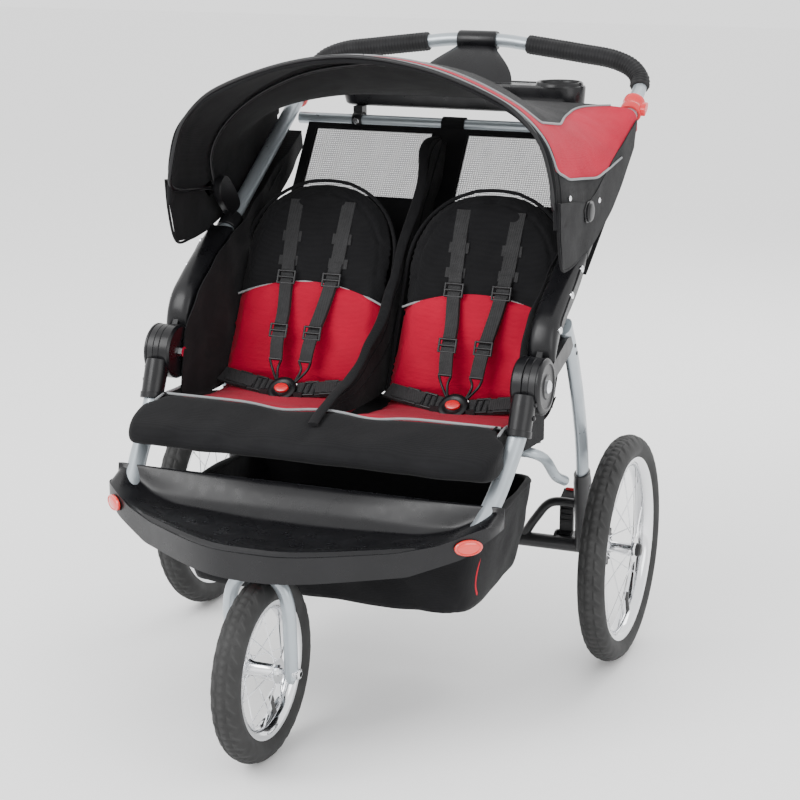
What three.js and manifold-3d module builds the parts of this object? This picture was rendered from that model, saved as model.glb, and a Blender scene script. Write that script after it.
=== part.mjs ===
// Double jogging stroller: two seats side by side on a folding tube frame with three spoked wheels.
// Millimetres, +Z up, -Y forwards (towards the single front wheel), +X to the right of the page when seen
// from the front. The origin is on the floor, under the middle of the stroller's bounding box.
import * as THREE from "three";
import { mergeVertices } from "three/addons/utils/BufferGeometryUtils.js";
import Module from "manifold-3d";

const wasm = await Module();
wasm.setup();

// ---------------------------------------------------------------- driving dimensions
const GAP = 0.3; // clearance between touching pieces
const V = (x, y, z) => new THREE.Vector3(x, y, z);

const REAR_WHEEL = { x: 400, y: 195, radius: 200 }; // 16 x 1.75 in tyre
const FRONT_WHEEL = { x: 0, y: -424, radius: 148.5 }; // 12 1/2 x 1.75 in tyre
const TYRE_WIDTH = 47;
const TYRE_DEPTH = 41.3; // from the tread to the rim
const WHEEL_SEGMENTS = 24;
const SPOKES = 20;
const REAR_AXLE_RADIUS = 6;
const FRONT_AXLE_RADIUS = 5;

const SIDE_X = 327; // middle plane of each side frame
const FOLD = { y: -95, z: 556 }; // main fold pivot, on both sides
const CASTING = { inner: 303, outer: 352, radius: 46, slotInner: 322.2, slotOuter: 344.8 };
const HANDLE_EAR = { inner: 322.6, outer: 333.6, radius: 38 };
const LEG_EAR = { inner: 334.2, outer: 344.4, radius: 20 };
const FOLD_BOLT_RADIUS = 6;

const FRONT_TUBE_RADIUS = 15;
const SIDE_TUBE_RADIUS = 14;
const SIDE_TUBE_SLOPE = 0.645; // rise over run of the push handle's side tubes
const SIDE_TUBE_BASE = { y: -60, z: 602 }; // a point on their axis
const CROSS_BAR = { y: 428, z: 897, radius: 11 };
const BAR_RADIUS = 12.5;
const GRIP_RADIUS = 17;
const BAR = { y: 555.5, z: 1042 }; // top centre of the handlebar
const LATCH = { start: 446, length: 38, thickness: 5 };

const STEERING = { y: -432, housingBottom: 325, housingTop: 346, postRadius: 9 };
const FORK = { halfWidth: 50, shoulder: 252, crown: 312, radius: 11 };

const CANOPY_PIVOT = { y: 112, z: 805 };
const CANOPY_PIN_RADIUS = 4;
const BOW_RADIUS = 3.5;
const SHEET = 2.5; // thickness of a single fabric sheet

const SEAT_X = 158; // middle of each seat
const RECLINE = { y: 70, z: 486 }; // backrest pivot
const BACK_TILT = THREE.MathUtils.degToRad(66); // backrest angle above the horizontal
const BUCKLE = { y: 0, z: 480, radius: 26, thickness: 13 };

// ---------------------------------------------------------------- colours and materials
const paint = (color, roughness, metalness) =>
  new THREE.MeshStandardMaterial({ color, roughness, metalness });
const SILVER = paint(0x9aa1a6, 0.35, 0.6);
const BLACK_PLASTIC = paint(0x17181a, 0.35, 0);
const BLACK_STEEL = paint(0x141414, 0.4, 0.3);
const CHROME = paint(0xd5d8da, 0.12, 1);
const RUBBER = paint(0x1c1b1b, 0.85, 0);
const FOAM = paint(0x161616, 0.95, 0);
const BLACK_FABRIC = paint(0x1b1b1d, 0.95, 0);
const SEAT_FABRIC = paint(0xb01c30, 0.9, 0);
const MESH_FABRIC = paint(0xb9babb, 0.9, 0);
const RED_PLASTIC = paint(0xd0141c, 0.35, 0);

const stroller = new THREE.Group();
function add(name, geometry, material, x = 0, y = 0, z = 0) {
  const mesh = new THREE.Mesh(geometry, material);
  mesh.name = name;
  mesh.position.set(x, y, z);
  stroller.add(mesh);
  return mesh;
}

// ---------------------------------------------------------------- solids from geometry
function bare(geometry) {
  const copy = geometry.index ? geometry.clone() : geometry;
  copy.deleteAttribute("normal");
  copy.deleteAttribute("uv");
  return mergeVertices(copy, 1e-3);
}

function flipped(geometry) {
  const index = geometry.index.array;
  for (let i = 0; i < index.length; i += 3) [index[i], index[i + 1]] = [index[i + 1], index[i]];
  return geometry;
}

// Six times the signed volume: negative when the faces point inwards.
function signedVolume(geometry) {
  const at = (i) => V().fromBufferAttribute(geometry.attributes.position, geometry.index.array[i]);
  let sum = 0;
  for (let i = 0; i < geometry.index.count; i += 3) sum += at(i).dot(at(i + 1).cross(at(i + 2)));
  return sum;
}

// A closed surface whose faces all point outwards.
function outward(geometry) {
  const merged = bare(geometry);
  return signedVolume(merged) < 0 ? flipped(merged) : merged;
}

const solid = (geometry) => {
  const closed = outward(geometry);
  const vertProperties = new Float32Array(closed.attributes.position.array);
  const triVerts = new Uint32Array(closed.index.array);
  return new wasm.Manifold(new wasm.Mesh({ numProp: 3, vertProperties, triVerts }));
};

function surface(manifold) {
  const mesh = manifold.getMesh();
  const geometry = new THREE.BufferGeometry();
  geometry.setAttribute("position", new THREE.BufferAttribute(new Float32Array(mesh.vertProperties), 3));
  geometry.setIndex(new THREE.BufferAttribute(new Uint32Array(mesh.triVerts), 1));
  return geometry;
}

// Joins the first list of geometries and cuts away the second.
function carve(joined, removed = []) {
  const whole = joined.map(solid).reduce((a, b) => a.add(b));
  return surface(removed.map(solid).reduce((a, b) => a.subtract(b), whole));
}

// The same piece on the other side of the stroller.
function mirrored(geometry) {
  return flipped(bare(geometry).clone().scale(-1, 1, 1));
}

// Adds a piece on the right (+X) and its mirror image on the left.
function addPair(name, geometry, material) {
  const right = bare(geometry);
  add(`${name}_right`, right, material);
  add(`${name}_left`, mirrored(right), material);
}

// ---------------------------------------------------------------- shape helpers
const circle = (radius) => new THREE.Shape().absarc(0, 0, radius, 0, Math.PI * 2);

// A section swept along a curve through the points.
function sweep(shape, points, steps, sides) {
  const path = new THREE.CatmullRomCurve3(points);
  const options = { extrudePath: path, steps, bevelEnabled: false, curveSegments: sides / 2 };
  return outward(new THREE.ExtrudeGeometry(shape, options));
}

const tube = (points, radius, steps, sides = 10) => sweep(circle(radius), points, steps, sides);

function pipe(points, outer, inner, steps, sides = 10) {
  const ring = circle(outer);
  ring.holes.push(circle(inner));
  return sweep(ring, points, steps, sides);
}

// A round bar between two points.
function rod(from, to, radius, sides = 16) {
  const length = from.distanceTo(to);
  const bar = new THREE.CylinderGeometry(radius, radius, length, sides);
  const turn = new THREE.Quaternion().setFromUnitVectors(V(0, 1, 0), to.clone().sub(from).normalize());
  const middle = from.clone().add(to).multiplyScalar(0.5);
  return bar.applyQuaternion(turn).translate(middle.x, middle.y, middle.z);
}

const pinAcross = (x0, x1, y, z, radius, sides = 16) => rod(V(x0, y, z), V(x1, y, z), radius, sides);

// A flat plate between two X planes, from an outline of [y, z] points.
function plate(outline, x0, x1) {
  const shape = new THREE.Shape(outline.map(([y, z]) => new THREE.Vector2(y, z)));
  const flat = new THREE.ExtrudeGeometry(shape, { depth: x1 - x0, bevelEnabled: false });
  const turn = new THREE.Matrix4().makeBasis(V(0, 1, 0), V(0, 0, 1), V(1, 0, 0));
  return flat.applyMatrix4(turn).translate(x0, 0, 0);
}

const box = (x0, x1, y0, y1, z0, z1) =>
  new THREE.BoxGeometry(x1 - x0, y1 - y0, z1 - z0).translate((x0 + x1) / 2, (y0 + y1) / 2, (z0 + z1) / 2);

// A closed body between two surfaces over the same grid; each surface maps (u, v) in 0..1 to a point.
function slab(columns, rows, top, bottom) {
  const corners = [];
  for (const side of [top, bottom])
    for (let j = 0; j <= rows; j++)
      for (let i = 0; i <= columns; i++) corners.push(side(i / columns, j / rows));
  const layer = (columns + 1) * (rows + 1);
  const at = (i, j, k) => k * layer + j * (columns + 1) + i;
  const index = [];
  const quad = (a, b, c, d) => index.push(a, b, c, a, c, d);
  for (let j = 0; j < rows; j++)
    for (let i = 0; i < columns; i++) {
      quad(at(i, j, 0), at(i + 1, j, 0), at(i + 1, j + 1, 0), at(i, j + 1, 0));
      quad(at(i, j, 1), at(i, j + 1, 1), at(i + 1, j + 1, 1), at(i + 1, j, 1));
    }
  for (let i = 0; i < columns; i++) {
    quad(at(i, 0, 1), at(i + 1, 0, 1), at(i + 1, 0, 0), at(i, 0, 0));
    quad(at(i, rows, 0), at(i + 1, rows, 0), at(i + 1, rows, 1), at(i, rows, 1));
  }
  for (let j = 0; j < rows; j++) {
    quad(at(0, j, 0), at(0, j + 1, 0), at(0, j + 1, 1), at(0, j, 1));
    quad(at(columns, j, 1), at(columns, j + 1, 1), at(columns, j + 1, 0), at(columns, j, 0));
  }
  const geometry = new THREE.BufferGeometry();
  geometry.setAttribute("position", new THREE.Float32BufferAttribute(corners.flatMap((p) => p.toArray()), 3));
  geometry.setIndex(index);
  return outward(geometry);
}

// Straight-line interpolation in a list of [position, value] pairs.
function along(pairs, t) {
  const next = pairs.findIndex(([at]) => at >= t);
  if (next <= 0) return next === 0 ? pairs[0][1] : pairs[pairs.length - 1][1];
  const [[a, from], [b, to]] = [pairs[next - 1], pairs[next]];
  return from + ((to - from) * (t - a)) / (b - a);
}

// A ribbon of webbing: the points lie on its back face, which the out vector points away from.
function ribbon(points, width, thickness, out, rows) {
  const path = new THREE.CatmullRomCurve3(points);
  const edge = (u, v, lift) => {
    const side = path.getTangent(v).cross(out).normalize();
    return path.getPoint(v).addScaledVector(side, (u - 0.5) * width).addScaledVector(out, lift);
  };
  return slab(1, rows, (u, v) => edge(u, v, thickness), (u, v) => edge(u, v, 0));
}

// A closed ring about the X axis from a profile of [x, radius] points; flats face down and sideways.
function wheelRing(profile) {
  const grow = 1 / Math.cos(Math.PI / WHEEL_SEGMENTS);
  const loop = [...profile, profile[0]].map(([x, radius]) => new THREE.Vector2(radius * grow, x));
  const ring = new THREE.LatheGeometry(loop, WHEEL_SEGMENTS);
  return outward(ring.rotateY(Math.PI / WHEEL_SEGMENTS).rotateZ(-Math.PI / 2));
}

// ---------------------------------------------------------------- wheels
function tyre(radius) {
  const half = TYRE_WIDTH / 2;
  const side = [
    [9, 0],
    [20, 8],
    [half, 20],
    [15.5, TYRE_DEPTH - GAP],
  ];
  const right = side.map(([x, depth]) => [x, radius - depth]);
  const left = right.map(([x, r]) => [-x, r]).reverse();
  return wheelRing([...right, ...left]);
}

// Rim, spokes and hub as one laced wheel about the X axis.
function lacedWheel(radius, hub, axleRadius) {
  const rimOuter = radius - TYRE_DEPTH;
  const rim = wheelRing([
    [15, rimOuter], [15, rimOuter - 8], [8, rimOuter - 12],
    [-8, rimOuter - 12], [-15, rimOuter - 8], [-15, rimOuter],
  ]);
  const barrel = pinAcross(hub.left, hub.right, 0, 0, hub.radius);
  const flanges = hub.flanges.map((x) => pinAcross(x - 3, x + 3, 0, 0, hub.flangeRadius, 12));
  const spokes = [];
  for (let i = 0; i < SPOKES; i++) {
    const angle = (i / SPOKES) * Math.PI * 2;
    const lean = i % 4 < 2 ? 1 : -1; // every other spoke on a flange leans the other way
    const flange = hub.flanges[i % 2];
    const inner = hub.flangeRadius - 3;
    const outer = rimOuter - 10;
    const root = angle + 0.75 * lean;
    const from = V(flange + 2 * lean, inner * Math.cos(root), inner * Math.sin(root));
    const to = V(Math.sign(flange) * 3 + 2 * lean, outer * Math.cos(angle), outer * Math.sin(angle));
    spokes.push(rod(from, to, 1.5, 3));
  }
  const bore = pinAcross(hub.left - 5, hub.right + 5, 0, 0, axleRadius + GAP);
  return carve([rim, barrel, ...flanges, ...spokes], [bore]);
}

const rearHub = { left: -28, right: 31, radius: 14, flangeRadius: 24, flanges: [-22, 22] };
const frontHub = { left: -32, right: 32, radius: 12, flangeRadius: 20, flanges: [-24, 24] };
const rearWheel = lacedWheel(REAR_WHEEL.radius, rearHub, REAR_AXLE_RADIUS);
const rearTyre = tyre(REAR_WHEEL.radius);
for (const [side, sign] of [["right", 1], ["left", -1]]) {
  const place = [sign * REAR_WHEEL.x, REAR_WHEEL.y, REAR_WHEEL.radius];
  add(`rear_tyre_${side}`, rearTyre, RUBBER, ...place);
  add(`rear_wheel_${side}`, sign > 0 ? rearWheel : mirrored(rearWheel), CHROME, ...place);
}
const frontPlace = [FRONT_WHEEL.x, FRONT_WHEEL.y, FRONT_WHEEL.radius];
add("front_tyre", tyre(FRONT_WHEEL.radius), RUBBER, ...frontPlace);
add("front_wheel", lacedWheel(FRONT_WHEEL.radius, frontHub, FRONT_AXLE_RADIUS), CHROME, ...frontPlace);

// ---------------------------------------------------------------- front fork
function fork() {
  const { halfWidth, shoulder, crown, radius } = FORK;
  const foot = FRONT_WHEEL.radius - 14;
  const right = [V(halfWidth, FRONT_WHEEL.y, foot), V(halfWidth, FRONT_WHEEL.y - 3, 200)];
  for (const angle of [0, 30, 55, 75]) {
    const a = THREE.MathUtils.degToRad(angle);
    right.push(V(halfWidth * Math.cos(a), STEERING.y, shoulder + (crown - shoulder) * Math.sin(a)));
  }
  const left = right.map((p) => V(-p.x, p.y, p.z)).reverse();
  const arch = tube([...right, ...left], radius, 24, 10);
  const post = rod(V(0, STEERING.y, crown), V(0, STEERING.y, STEERING.housingTop), STEERING.postRadius);
  const axleHole = pinAcross(-80, 80, FRONT_WHEEL.y, FRONT_WHEEL.radius, FRONT_AXLE_RADIUS + GAP);
  return carve([arch, post], [axleHole]);
}
add("fork", fork(), SILVER);

function frontAxle() {
  const nutStart = FORK.halfWidth + FORK.radius + GAP;
  const nuts = [-1, 1].map((s) => pinAcross(s * nutStart, s * (nutStart + 8), 0, 0, 9, 6));
  return carve([pinAcross(-nutStart - 2, nutStart + 2, 0, 0, FRONT_AXLE_RADIUS), ...nuts]);
}
add("front_axle", frontAxle(), CHROME, ...frontPlace);

const KNOB = { radius: 8, y: STEERING.y - FORK.radius - 8.6, bottom: 303, height: 18 };
add(
  "swivel_lock_knob",
  rod(V(0, KNOB.y, KNOB.bottom), V(0, KNOB.y, KNOB.bottom + KNOB.height), KNOB.radius, 12),
  RED_PLASTIC,
);

// ---------------------------------------------------------------- front frame
const TUBE_STEPS = 18;
const frontTubePath = [
  V(SIDE_X, -146, 520), V(325, -156, 494), V(320, -190, 450), V(313, -238, 402), V(300, -285, 362),
  V(262, -332, 338), V(190, -375, 333), V(110, -410, 333), V(30, -432, 333),
];
addPair("front_tube", tube(frontTubePath, FRONT_TUBE_RADIUS, TUBE_STEPS), SILVER);

function forkHousing() {
  const { y, housingBottom, housingTop, postRadius } = STEERING;
  const block = rod(V(0, y, housingBottom), V(0, y, housingTop), 25, 20);
  return carve([block], [rod(V(0, y, housingBottom - 5), V(0, y, housingTop + 5), postRadius + GAP)]);
}
add("fork_housing", forkHousing(), BLACK_PLASTIC);

const SEAT_TUBE = { y: -190, z: 448, radius: 11, end: 303 };
const seatTube = pinAcross(-SEAT_TUBE.end, SEAT_TUBE.end, SEAT_TUBE.y, SEAT_TUBE.z, SEAT_TUBE.radius);
add("seat_cross_tube", seatTube, SILVER);

// Moulded foot tray: a shallow dish with a tall rear wall, a rounded nose and a skirt all round.
const TRAY = { halfWidth: 338, rear: -258, rim: 404, floor: 353, wall: 4, skirt: 7 };
const TRAY_EDGE = [[0, -478], [55, -476], [100, -456], [225, -380], [300, -334], [338, -296]];
const trayFront = (x) => along(TRAY_EDGE, Math.abs(x));
function footTray() {
  const columns = [-1, -0.978, -0.9, -0.8, -0.66, -0.3, -0.165];
  const xs = [...columns, ...columns.map((u) => -u).reverse()].map((u) => u * TRAY.halfWidth);
  const rows = [0, 0.03, 0.14, 0.3, 0.78, 0.89, 0.965, 1];
  const place = (u, v) => {
    const x = xs[Math.round(u * (xs.length - 1))];
    const row = Math.round(v * (rows.length - 1));
    return { x, row, depth: rows[row], y: TRAY.rear + (trayFront(x) - TRAY.rear) * rows[row] };
  };
  const rearWall = [
    [0, 51], [0.03, 50], [0.1, 36], [0.2, 14], [0.32, 1], [0.78, 0], [0.89, 6], [0.965, 4], [1, -12],
  ];
  const sideWall = [[0, 0], [0.62, 0], [0.78, 12], [0.86, 26], [0.93, 40], [0.978, 46], [1, 34]];
  const top = (u, v) => {
    const { x, y, depth } = place(u, v);
    const side = along(sideWall, Math.abs(x) / TRAY.halfWidth) * (1 - 0.35 * depth);
    return V(x, y, TRAY.floor + Math.max(along(rearWall, depth), side));
  };
  const skirtBottom = (x, depth) => {
    const low = along([[0, 309], [225, 313], [300, 338], [338, 368]], Math.abs(x));
    return Math.max(low, along([[0, 384], [0.1, 352], [0.4, 330], [0.7, 309], [1, 309]], depth));
  };
  const bottom = (u, v) => {
    const { x, y, row, depth } = place(u, v);
    const point = top(u, v);
    const atEdge = row === 0 || row === rows.length - 1 || Math.abs(x) === TRAY.halfWidth;
    return V(x, y, atEdge ? Math.min(skirtBottom(x, depth), point.z - TRAY.wall) : point.z - TRAY.wall);
  };
  const paths = [frontTubePath, frontTubePath.map((p) => V(-p.x, p.y, p.z))];
  const channels = paths.map((path) => tube(path, FRONT_TUBE_RADIUS + 2 * GAP, TUBE_STEPS));
  return carve([slab(xs.length - 1, rows.length - 1, top, bottom)], channels);
}
add("foot_tray", footTray(), BLACK_PLASTIC);

// Oval reflector on each front corner of the tray's skirt.
const REFLECTOR = { x: 306.2, y: -332.8, z: 356, radius: 20, thickness: 3, squash: 0.55, turn: 38 };
function reflector() {
  const { x, y, z, radius, thickness, squash, turn } = REFLECTOR;
  const oval = new THREE.CylinderGeometry(radius, radius, thickness, 16).scale(1, 1, squash);
  return oval.rotateZ(THREE.MathUtils.degToRad(turn)).translate(x, y, z);
}
addPair("tray_reflector", reflector(), RED_PLASTIC);

// Hinge casting: two round cheeks on a socket that holds the top of the front tube.
function hingeCasting() {
  const { inner, outer, radius, slotInner, slotOuter } = CASTING;
  const disc = pinAcross(inner, outer, FOLD.y, FOLD.z, radius, 22);
  const socket = rod(V(SIDE_X, -131, 560), V(SIDE_X - 1, -159, 488), 24, 14);
  const slot = pinAcross(slotInner, slotOuter, FOLD.y, FOLD.z, radius + 1.6, 22);
  const boltHole = pinAcross(inner - 5, outer + 5, FOLD.y, FOLD.z, FOLD_BOLT_RADIUS + GAP);
  const tubeSocket = tube([V(328, -139, 538), ...frontTubePath.slice(0, 4)], FRONT_TUBE_RADIUS + 1.2, 8);
  return carve([disc, socket], [slot, boltHole, tubeSocket]);
}
addPair("hinge_casting", hingeCasting(), BLACK_PLASTIC);

function foldBolt() {
  const { inner, outer } = CASTING;
  const shank = pinAcross(inner - 4, outer + 4, FOLD.y, FOLD.z, FOLD_BOLT_RADIUS);
  const head = pinAcross(outer + GAP, outer + 6, FOLD.y, FOLD.z, 11, 20);
  const nut = pinAcross(inner - 6, inner - GAP, FOLD.y, FOLD.z, 10, 6);
  return carve([shank, head, nut]);
}
addPair("fold_bolt", foldBolt(), CHROME);

// ---------------------------------------------------------------- push handle
const sideTubeZ = (y) => SIDE_TUBE_BASE.z + SIDE_TUBE_SLOPE * (y - SIDE_TUBE_BASE.y);
const onSideTube = (y) => V(SIDE_X, y, sideTubeZ(y));
const HANDLE_JOINT = 484; // where the side tube ends and the handlebar starts
addPair("side_tube", rod(onSideTube(20), onSideTube(HANDLE_JOINT), SIDE_TUBE_RADIUS), SILVER);

const barCurve = (sign) => [
  V(sign * SIDE_X, HANDLE_JOINT + 1, sideTubeZ(HANDLE_JOINT + 1)), V(sign * 326, 512, 969),
  V(sign * 321, 528, 984), V(sign * 304, 538, 1001), V(sign * 268, 545.5, 1015), V(sign * 205, 550, 1024),
  V(sign * 148, 553, 1031), V(sign * 98, BAR.y - 1, 1037), V(sign * 50, BAR.y, BAR.z),
];
const gripStart = 1; // index in barCurve of the grip's lower end
const barPath = [...barCurve(1), ...barCurve(-1).reverse()];
add("handlebar", tube(barPath, BAR_RADIUS, 28), SILVER);

const gripPath = barCurve(1).slice(gripStart, -1);
addPair("grip", pipe(gripPath, GRIP_RADIUS, BAR_RADIUS + 1.4, 11), FOAM);

add("cross_bar", pinAcross(-312, 312, CROSS_BAR.y, CROSS_BAR.z, CROSS_BAR.radius), SILVER);

// Red release collar that slides up each side tube.
function foldLatch() {
  const { start, length, thickness } = LATCH;
  const from = onSideTube(start);
  const to = from.clone().addScaledVector(V(0, 1, SIDE_TUBE_SLOPE).normalize(), length);
  const ring = rod(from, to, SIDE_TUBE_RADIUS + GAP + thickness, 16);
  const tabZ = sideTubeZ(start + 8);
  const tab = box(SIDE_X + 8, SIDE_X + 27, start + 6, start + 24, tabZ, tabZ + 14);
  const bore = rod(onSideTube(start - 20), onSideTube(start + 60), SIDE_TUBE_RADIUS + GAP, 16);
  return carve([ring, tab], [bore]);
}
addPair("fold_latch", foldLatch(), RED_PLASTIC);

// Curved arm that carries the side tube on the fold pivot.
function hingeArm() {
  const outline = [
    [-55, 583], [-64, 593], [-60, 616], [-50, 642], [-30, 664], [0, 685], [57, 716], [95, 738], [114, 744],
    [122, 720], [104, 690], [60, 659], [10, 626], [-30, 600],
  ];
  const arm = plate(outline, CASTING.inner + 1, CASTING.outer - 1);
  const { inner, outer, radius } = HANDLE_EAR;
  const ear = pinAcross(inner, outer, FOLD.y, FOLD.z, radius, 18);
  const web = plate([[-76, 588], [-58, 610], [-38, 596], [-60, 545]], inner, outer);
  const boltHole = pinAcross(inner - 5, outer + 5, FOLD.y, FOLD.z, FOLD_BOLT_RADIUS + GAP);
  const socket = rod(onSideTube(19.5), onSideTube(180), SIDE_TUBE_RADIUS + 1, 12);
  return carve([arm, ear, web], [boltHole, socket]);
}
addPair("hinge_arm", hingeArm(), BLACK_PLASTIC);

// Parent tray: a moulded body with two cup wells and a neck that wraps the handlebar.
const CONSOLE = { halfWidth: 236, front: 428, back: 508, bottom: 924, top: 974 };
const CUP = { x: 188, y: 468, radius: 36, floor: 929 };
function parentConsole() {
  const { halfWidth, front, back, bottom, top } = CONSOLE;
  const corner = (back - front) / 2;
  const straight = halfWidth - corner;
  const outline = new THREE.Shape();
  outline.moveTo(-straight, front).lineTo(straight, front);
  outline.absarc(straight, front + corner, corner, -Math.PI / 2, Math.PI / 2);
  outline.lineTo(-straight, back).absarc(-straight, front + corner, corner, Math.PI / 2, (3 * Math.PI) / 2);
  const options = { depth: top - bottom, bevelEnabled: false, curveSegments: 6 };
  const body = new THREE.ExtrudeGeometry(outline, options);
  const neck = slab(
    1, 4,
    (u, v) => V((u - 0.5) * 2 * (95 - 57 * v), 466 + 84 * v, top - 6 + 72 * v + 10 * Math.sin(v * Math.PI)),
    (u, v) => V((u - 0.5) * 2 * (95 - 57 * v), 478 + 76 * v, top - 22 + 68 * v),
  );
  const wrap = pinAcross(-38, 38, BAR.y, BAR.z, GRIP_RADIUS, 16);
  const well = (x) => rod(V(x, CUP.y, CUP.floor), V(x, CUP.y, top + 20), CUP.radius, 16);
  const wells = [well(CUP.x), well(-CUP.x)];
  const pocket = box(-85, 85, 440, 462, 940, top + 20);
  const barHole = tube(barPath, BAR_RADIUS + 0.5, 28);
  return carve([body.translate(0, 0, bottom), neck, wrap], [...wells, pocket, barHole]);
}
add("parent_console", parentConsole(), BLACK_PLASTIC);

function consoleClamp() {
  const { y, z, radius } = CROSS_BAR;
  const ring = pinAcross(182, 200, y, z, radius + 6, 12);
  const tab = box(182, 200, y - 6, y + 16, z + 8, CONSOLE.bottom - GAP);
  return carve([ring, tab], [pinAcross(170, 212, y, z, radius + 1, 12)]);
}
addPair("console_clamp", consoleClamp(), BLACK_PLASTIC);

// Bracket on the side tube that carries both canopy bows on one pin.
function canopyMount() {
  const { y, z } = CANOPY_PIVOT;
  const direction = V(0, 1, SIDE_TUBE_SLOPE).normalize();
  const foot = onSideTube(136);
  const clamp = rod(foot, foot.clone().addScaledVector(direction, 34), SIDE_TUBE_RADIUS + 5, 12);
  const arm = plate([[138, 752], [172, 768], [130, 822], [112, 828], [94, 815], [96, 795]], 316, 330);
  const pin = pinAcross(328, 346.2, y, z, CANOPY_PIN_RADIUS, 8);
  return carve([clamp, arm, pin], [rod(onSideTube(110), onSideTube(200), SIDE_TUBE_RADIUS + 1, 12)]);
}
addPair("canopy_mount", canopyMount(), BLACK_PLASTIC);

// ---------------------------------------------------------------- canopy
// Half outlines of the cloth at each bow, from the side up to the middle, as [x, z].
const FRONT_ARCH = [[350, 838], [345, 880], [326, 940], [287, 985], [245, 1010], [129, 1054], [0, 1069]];
const MID_ARCH = [[351, 818], [343, 870], [321, 918], [262, 972], [164, 1023], [60, 1044], [0, 1047]];
const REAR_ARCH = [[349, 928], [340, 938], [300, 943], [200, 945], [130, 946], [60, 947], [0, 947]];
const ARCH_Y = { front: -45, mid: 95, rear: 412 };
const ARCH_COLUMNS = 16;

// A smooth arch through a half outline and its mirror image; u runs from 0 on the left to 1 on the right.
function archCurve(half) {
  const left = half.map(([x, z]) => V(-x, 0, z));
  const right = half.slice(0, -1).reverse().map(([x, z]) => V(x, 0, z));
  return new THREE.CatmullRomCurve3([...left, ...right]);
}
const frontCloth = archCurve(FRONT_ARCH);
const midCloth = archCurve(MID_ARCH);
const rearCloth = archCurve(REAR_ARCH);

// A cloth panel stretched between two arches, between the fractions v0 and v1 of the way.
function canopyPanel(from, fromY, to, toY, v0, v1) {
  const point = (u, v, inset) => {
    const t = v0 + (v1 - v0) * v;
    const p = from.getPoint(u).lerp(to.getPoint(u), t);
    const inwards = Math.sign(p.x) * Math.min(1, Math.abs(p.x) / 60) * inset;
    return V(p.x - inwards, fromY + (toY - fromY) * t, p.z - inset * 0.9);
  };
  return slab(ARCH_COLUMNS, 2, (u, v) => point(u, v, 0), (u, v) => point(u, v, SHEET));
}
const seamGap = 0.004;
const { front: frontY, mid: midY, rear: rearY } = ARCH_Y;
add("canopy_front_panel", canopyPanel(frontCloth, frontY, midCloth, midY, 0, 1 - seamGap), BLACK_FABRIC);
add("canopy_rear_panel", canopyPanel(midCloth, midY, rearCloth, rearY, seamGap, 1), BLACK_FABRIC);

// A bow follows its arch inside the cloth, and runs to an eye on the pivot pin at each end.
function canopyBow(half, y, eyeX) {
  const { y: py, z: pz } = CANOPY_PIVOT;
  const inside = half.map(([x, z]) => [Math.min(x - 9, eyeX), z - (x < 200 ? 9 : 5)]);
  const lean = (z) => y + (py - y) * Math.max(0, 1 - (z - pz) / 28);
  const curve = inside.map(([x, z]) => V(-x, lean(z), z));
  const ends = V(-eyeX, py, pz);
  const left = [ends, ...curve];
  const right = left.slice(0, -1).reverse().map((p) => V(-p.x, p.y, p.z));
  const bow = tube([...left, ...right], BOW_RADIUS, 26, 6);
  const eyes = [-1, 1].map((s) => pinAcross(s * (eyeX - 3.4), s * (eyeX + 3.4), py, pz, 8, 10));
  const holeRadius = CANOPY_PIN_RADIUS + 2 * GAP;
  const holes = [-1, 1].map((s) => pinAcross(s * (eyeX - 9), s * (eyeX + 9), py, pz, holeRadius, 8));
  return carve([bow, ...eyes], holes);
}
add("canopy_mid_bow", canopyBow(MID_ARCH, midY, 334), BLACK_PLASTIC);
add("canopy_front_bow", canopyBow(FRONT_ARCH, frontY, 341.4), BLACK_PLASTIC);

// ---------------------------------------------------------------- fabric sides and back
// Side panel: an outer wing under the canopy, wrapped under the side tube, and an inner wall beside the seat.
function sideWing() {
  const under = (y) => sideTubeZ(y) - 26;
  const outerWing = plate(
    [[-40, 832], [34, 752], [122, 752], [128, under(128)], [404, under(404)], [404, 921], [112, 811]],
    347.2, 347.2 + SHEET,
  );
  const wrap = slab(
    1, 1,
    (u, v) => V(296 + 53.7 * u, 128 + 276 * v, under(128 + 276 * v)),
    (u, v) => V(296 + 53.7 * u, 128 + 276 * v, under(128 + 276 * v) - SHEET),
  );
  const innerWall = plate(
    [[-100, 495], [-60, 506], [20, 560], [90, 622], [128, 694], [178, 752], [404, under(404)],
      [404, under(404) - 8], [250, 722], [160, 600], [105, 496], [60, 474], [-90, 474]],
    296, 296 + SHEET,
  );
  return carve([outerWing, wrap, innerWall]);
}
addPair("side_wing", sideWing(), BLACK_FABRIC);

// Back panel with the mesh windows: hangs from the cross bar and runs down behind the seats.
const BACK_LINE = [[0, 424], [0.25, 345], [0.5, 268], [0.75, 200], [1, 142]];
const BACK_HEIGHT = [[0, 876], [0.25, 790], [0.5, 690], [0.75, 570], [1, 456]];
function backPanel() {
  const point = (u, v, inset) =>
    V((u - 0.5) * 2 * (290 - 4 * v), along(BACK_LINE, v) - inset, along(BACK_HEIGHT, v));
  return slab(2, 4, (u, v) => point(u, v, 0), (u, v) => point(u, v, 3));
}
add("back_panel", backPanel(), MESH_FABRIC);

// ---------------------------------------------------------------- seats
const PAN = { halfWidth: 292, outline: [[-180, 470], [66, 420], [66, 414], [-180, 464]] };
add("seat_pan", plate(PAN.outline, -PAN.halfWidth, PAN.halfWidth), BLACK_PLASTIC);

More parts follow.
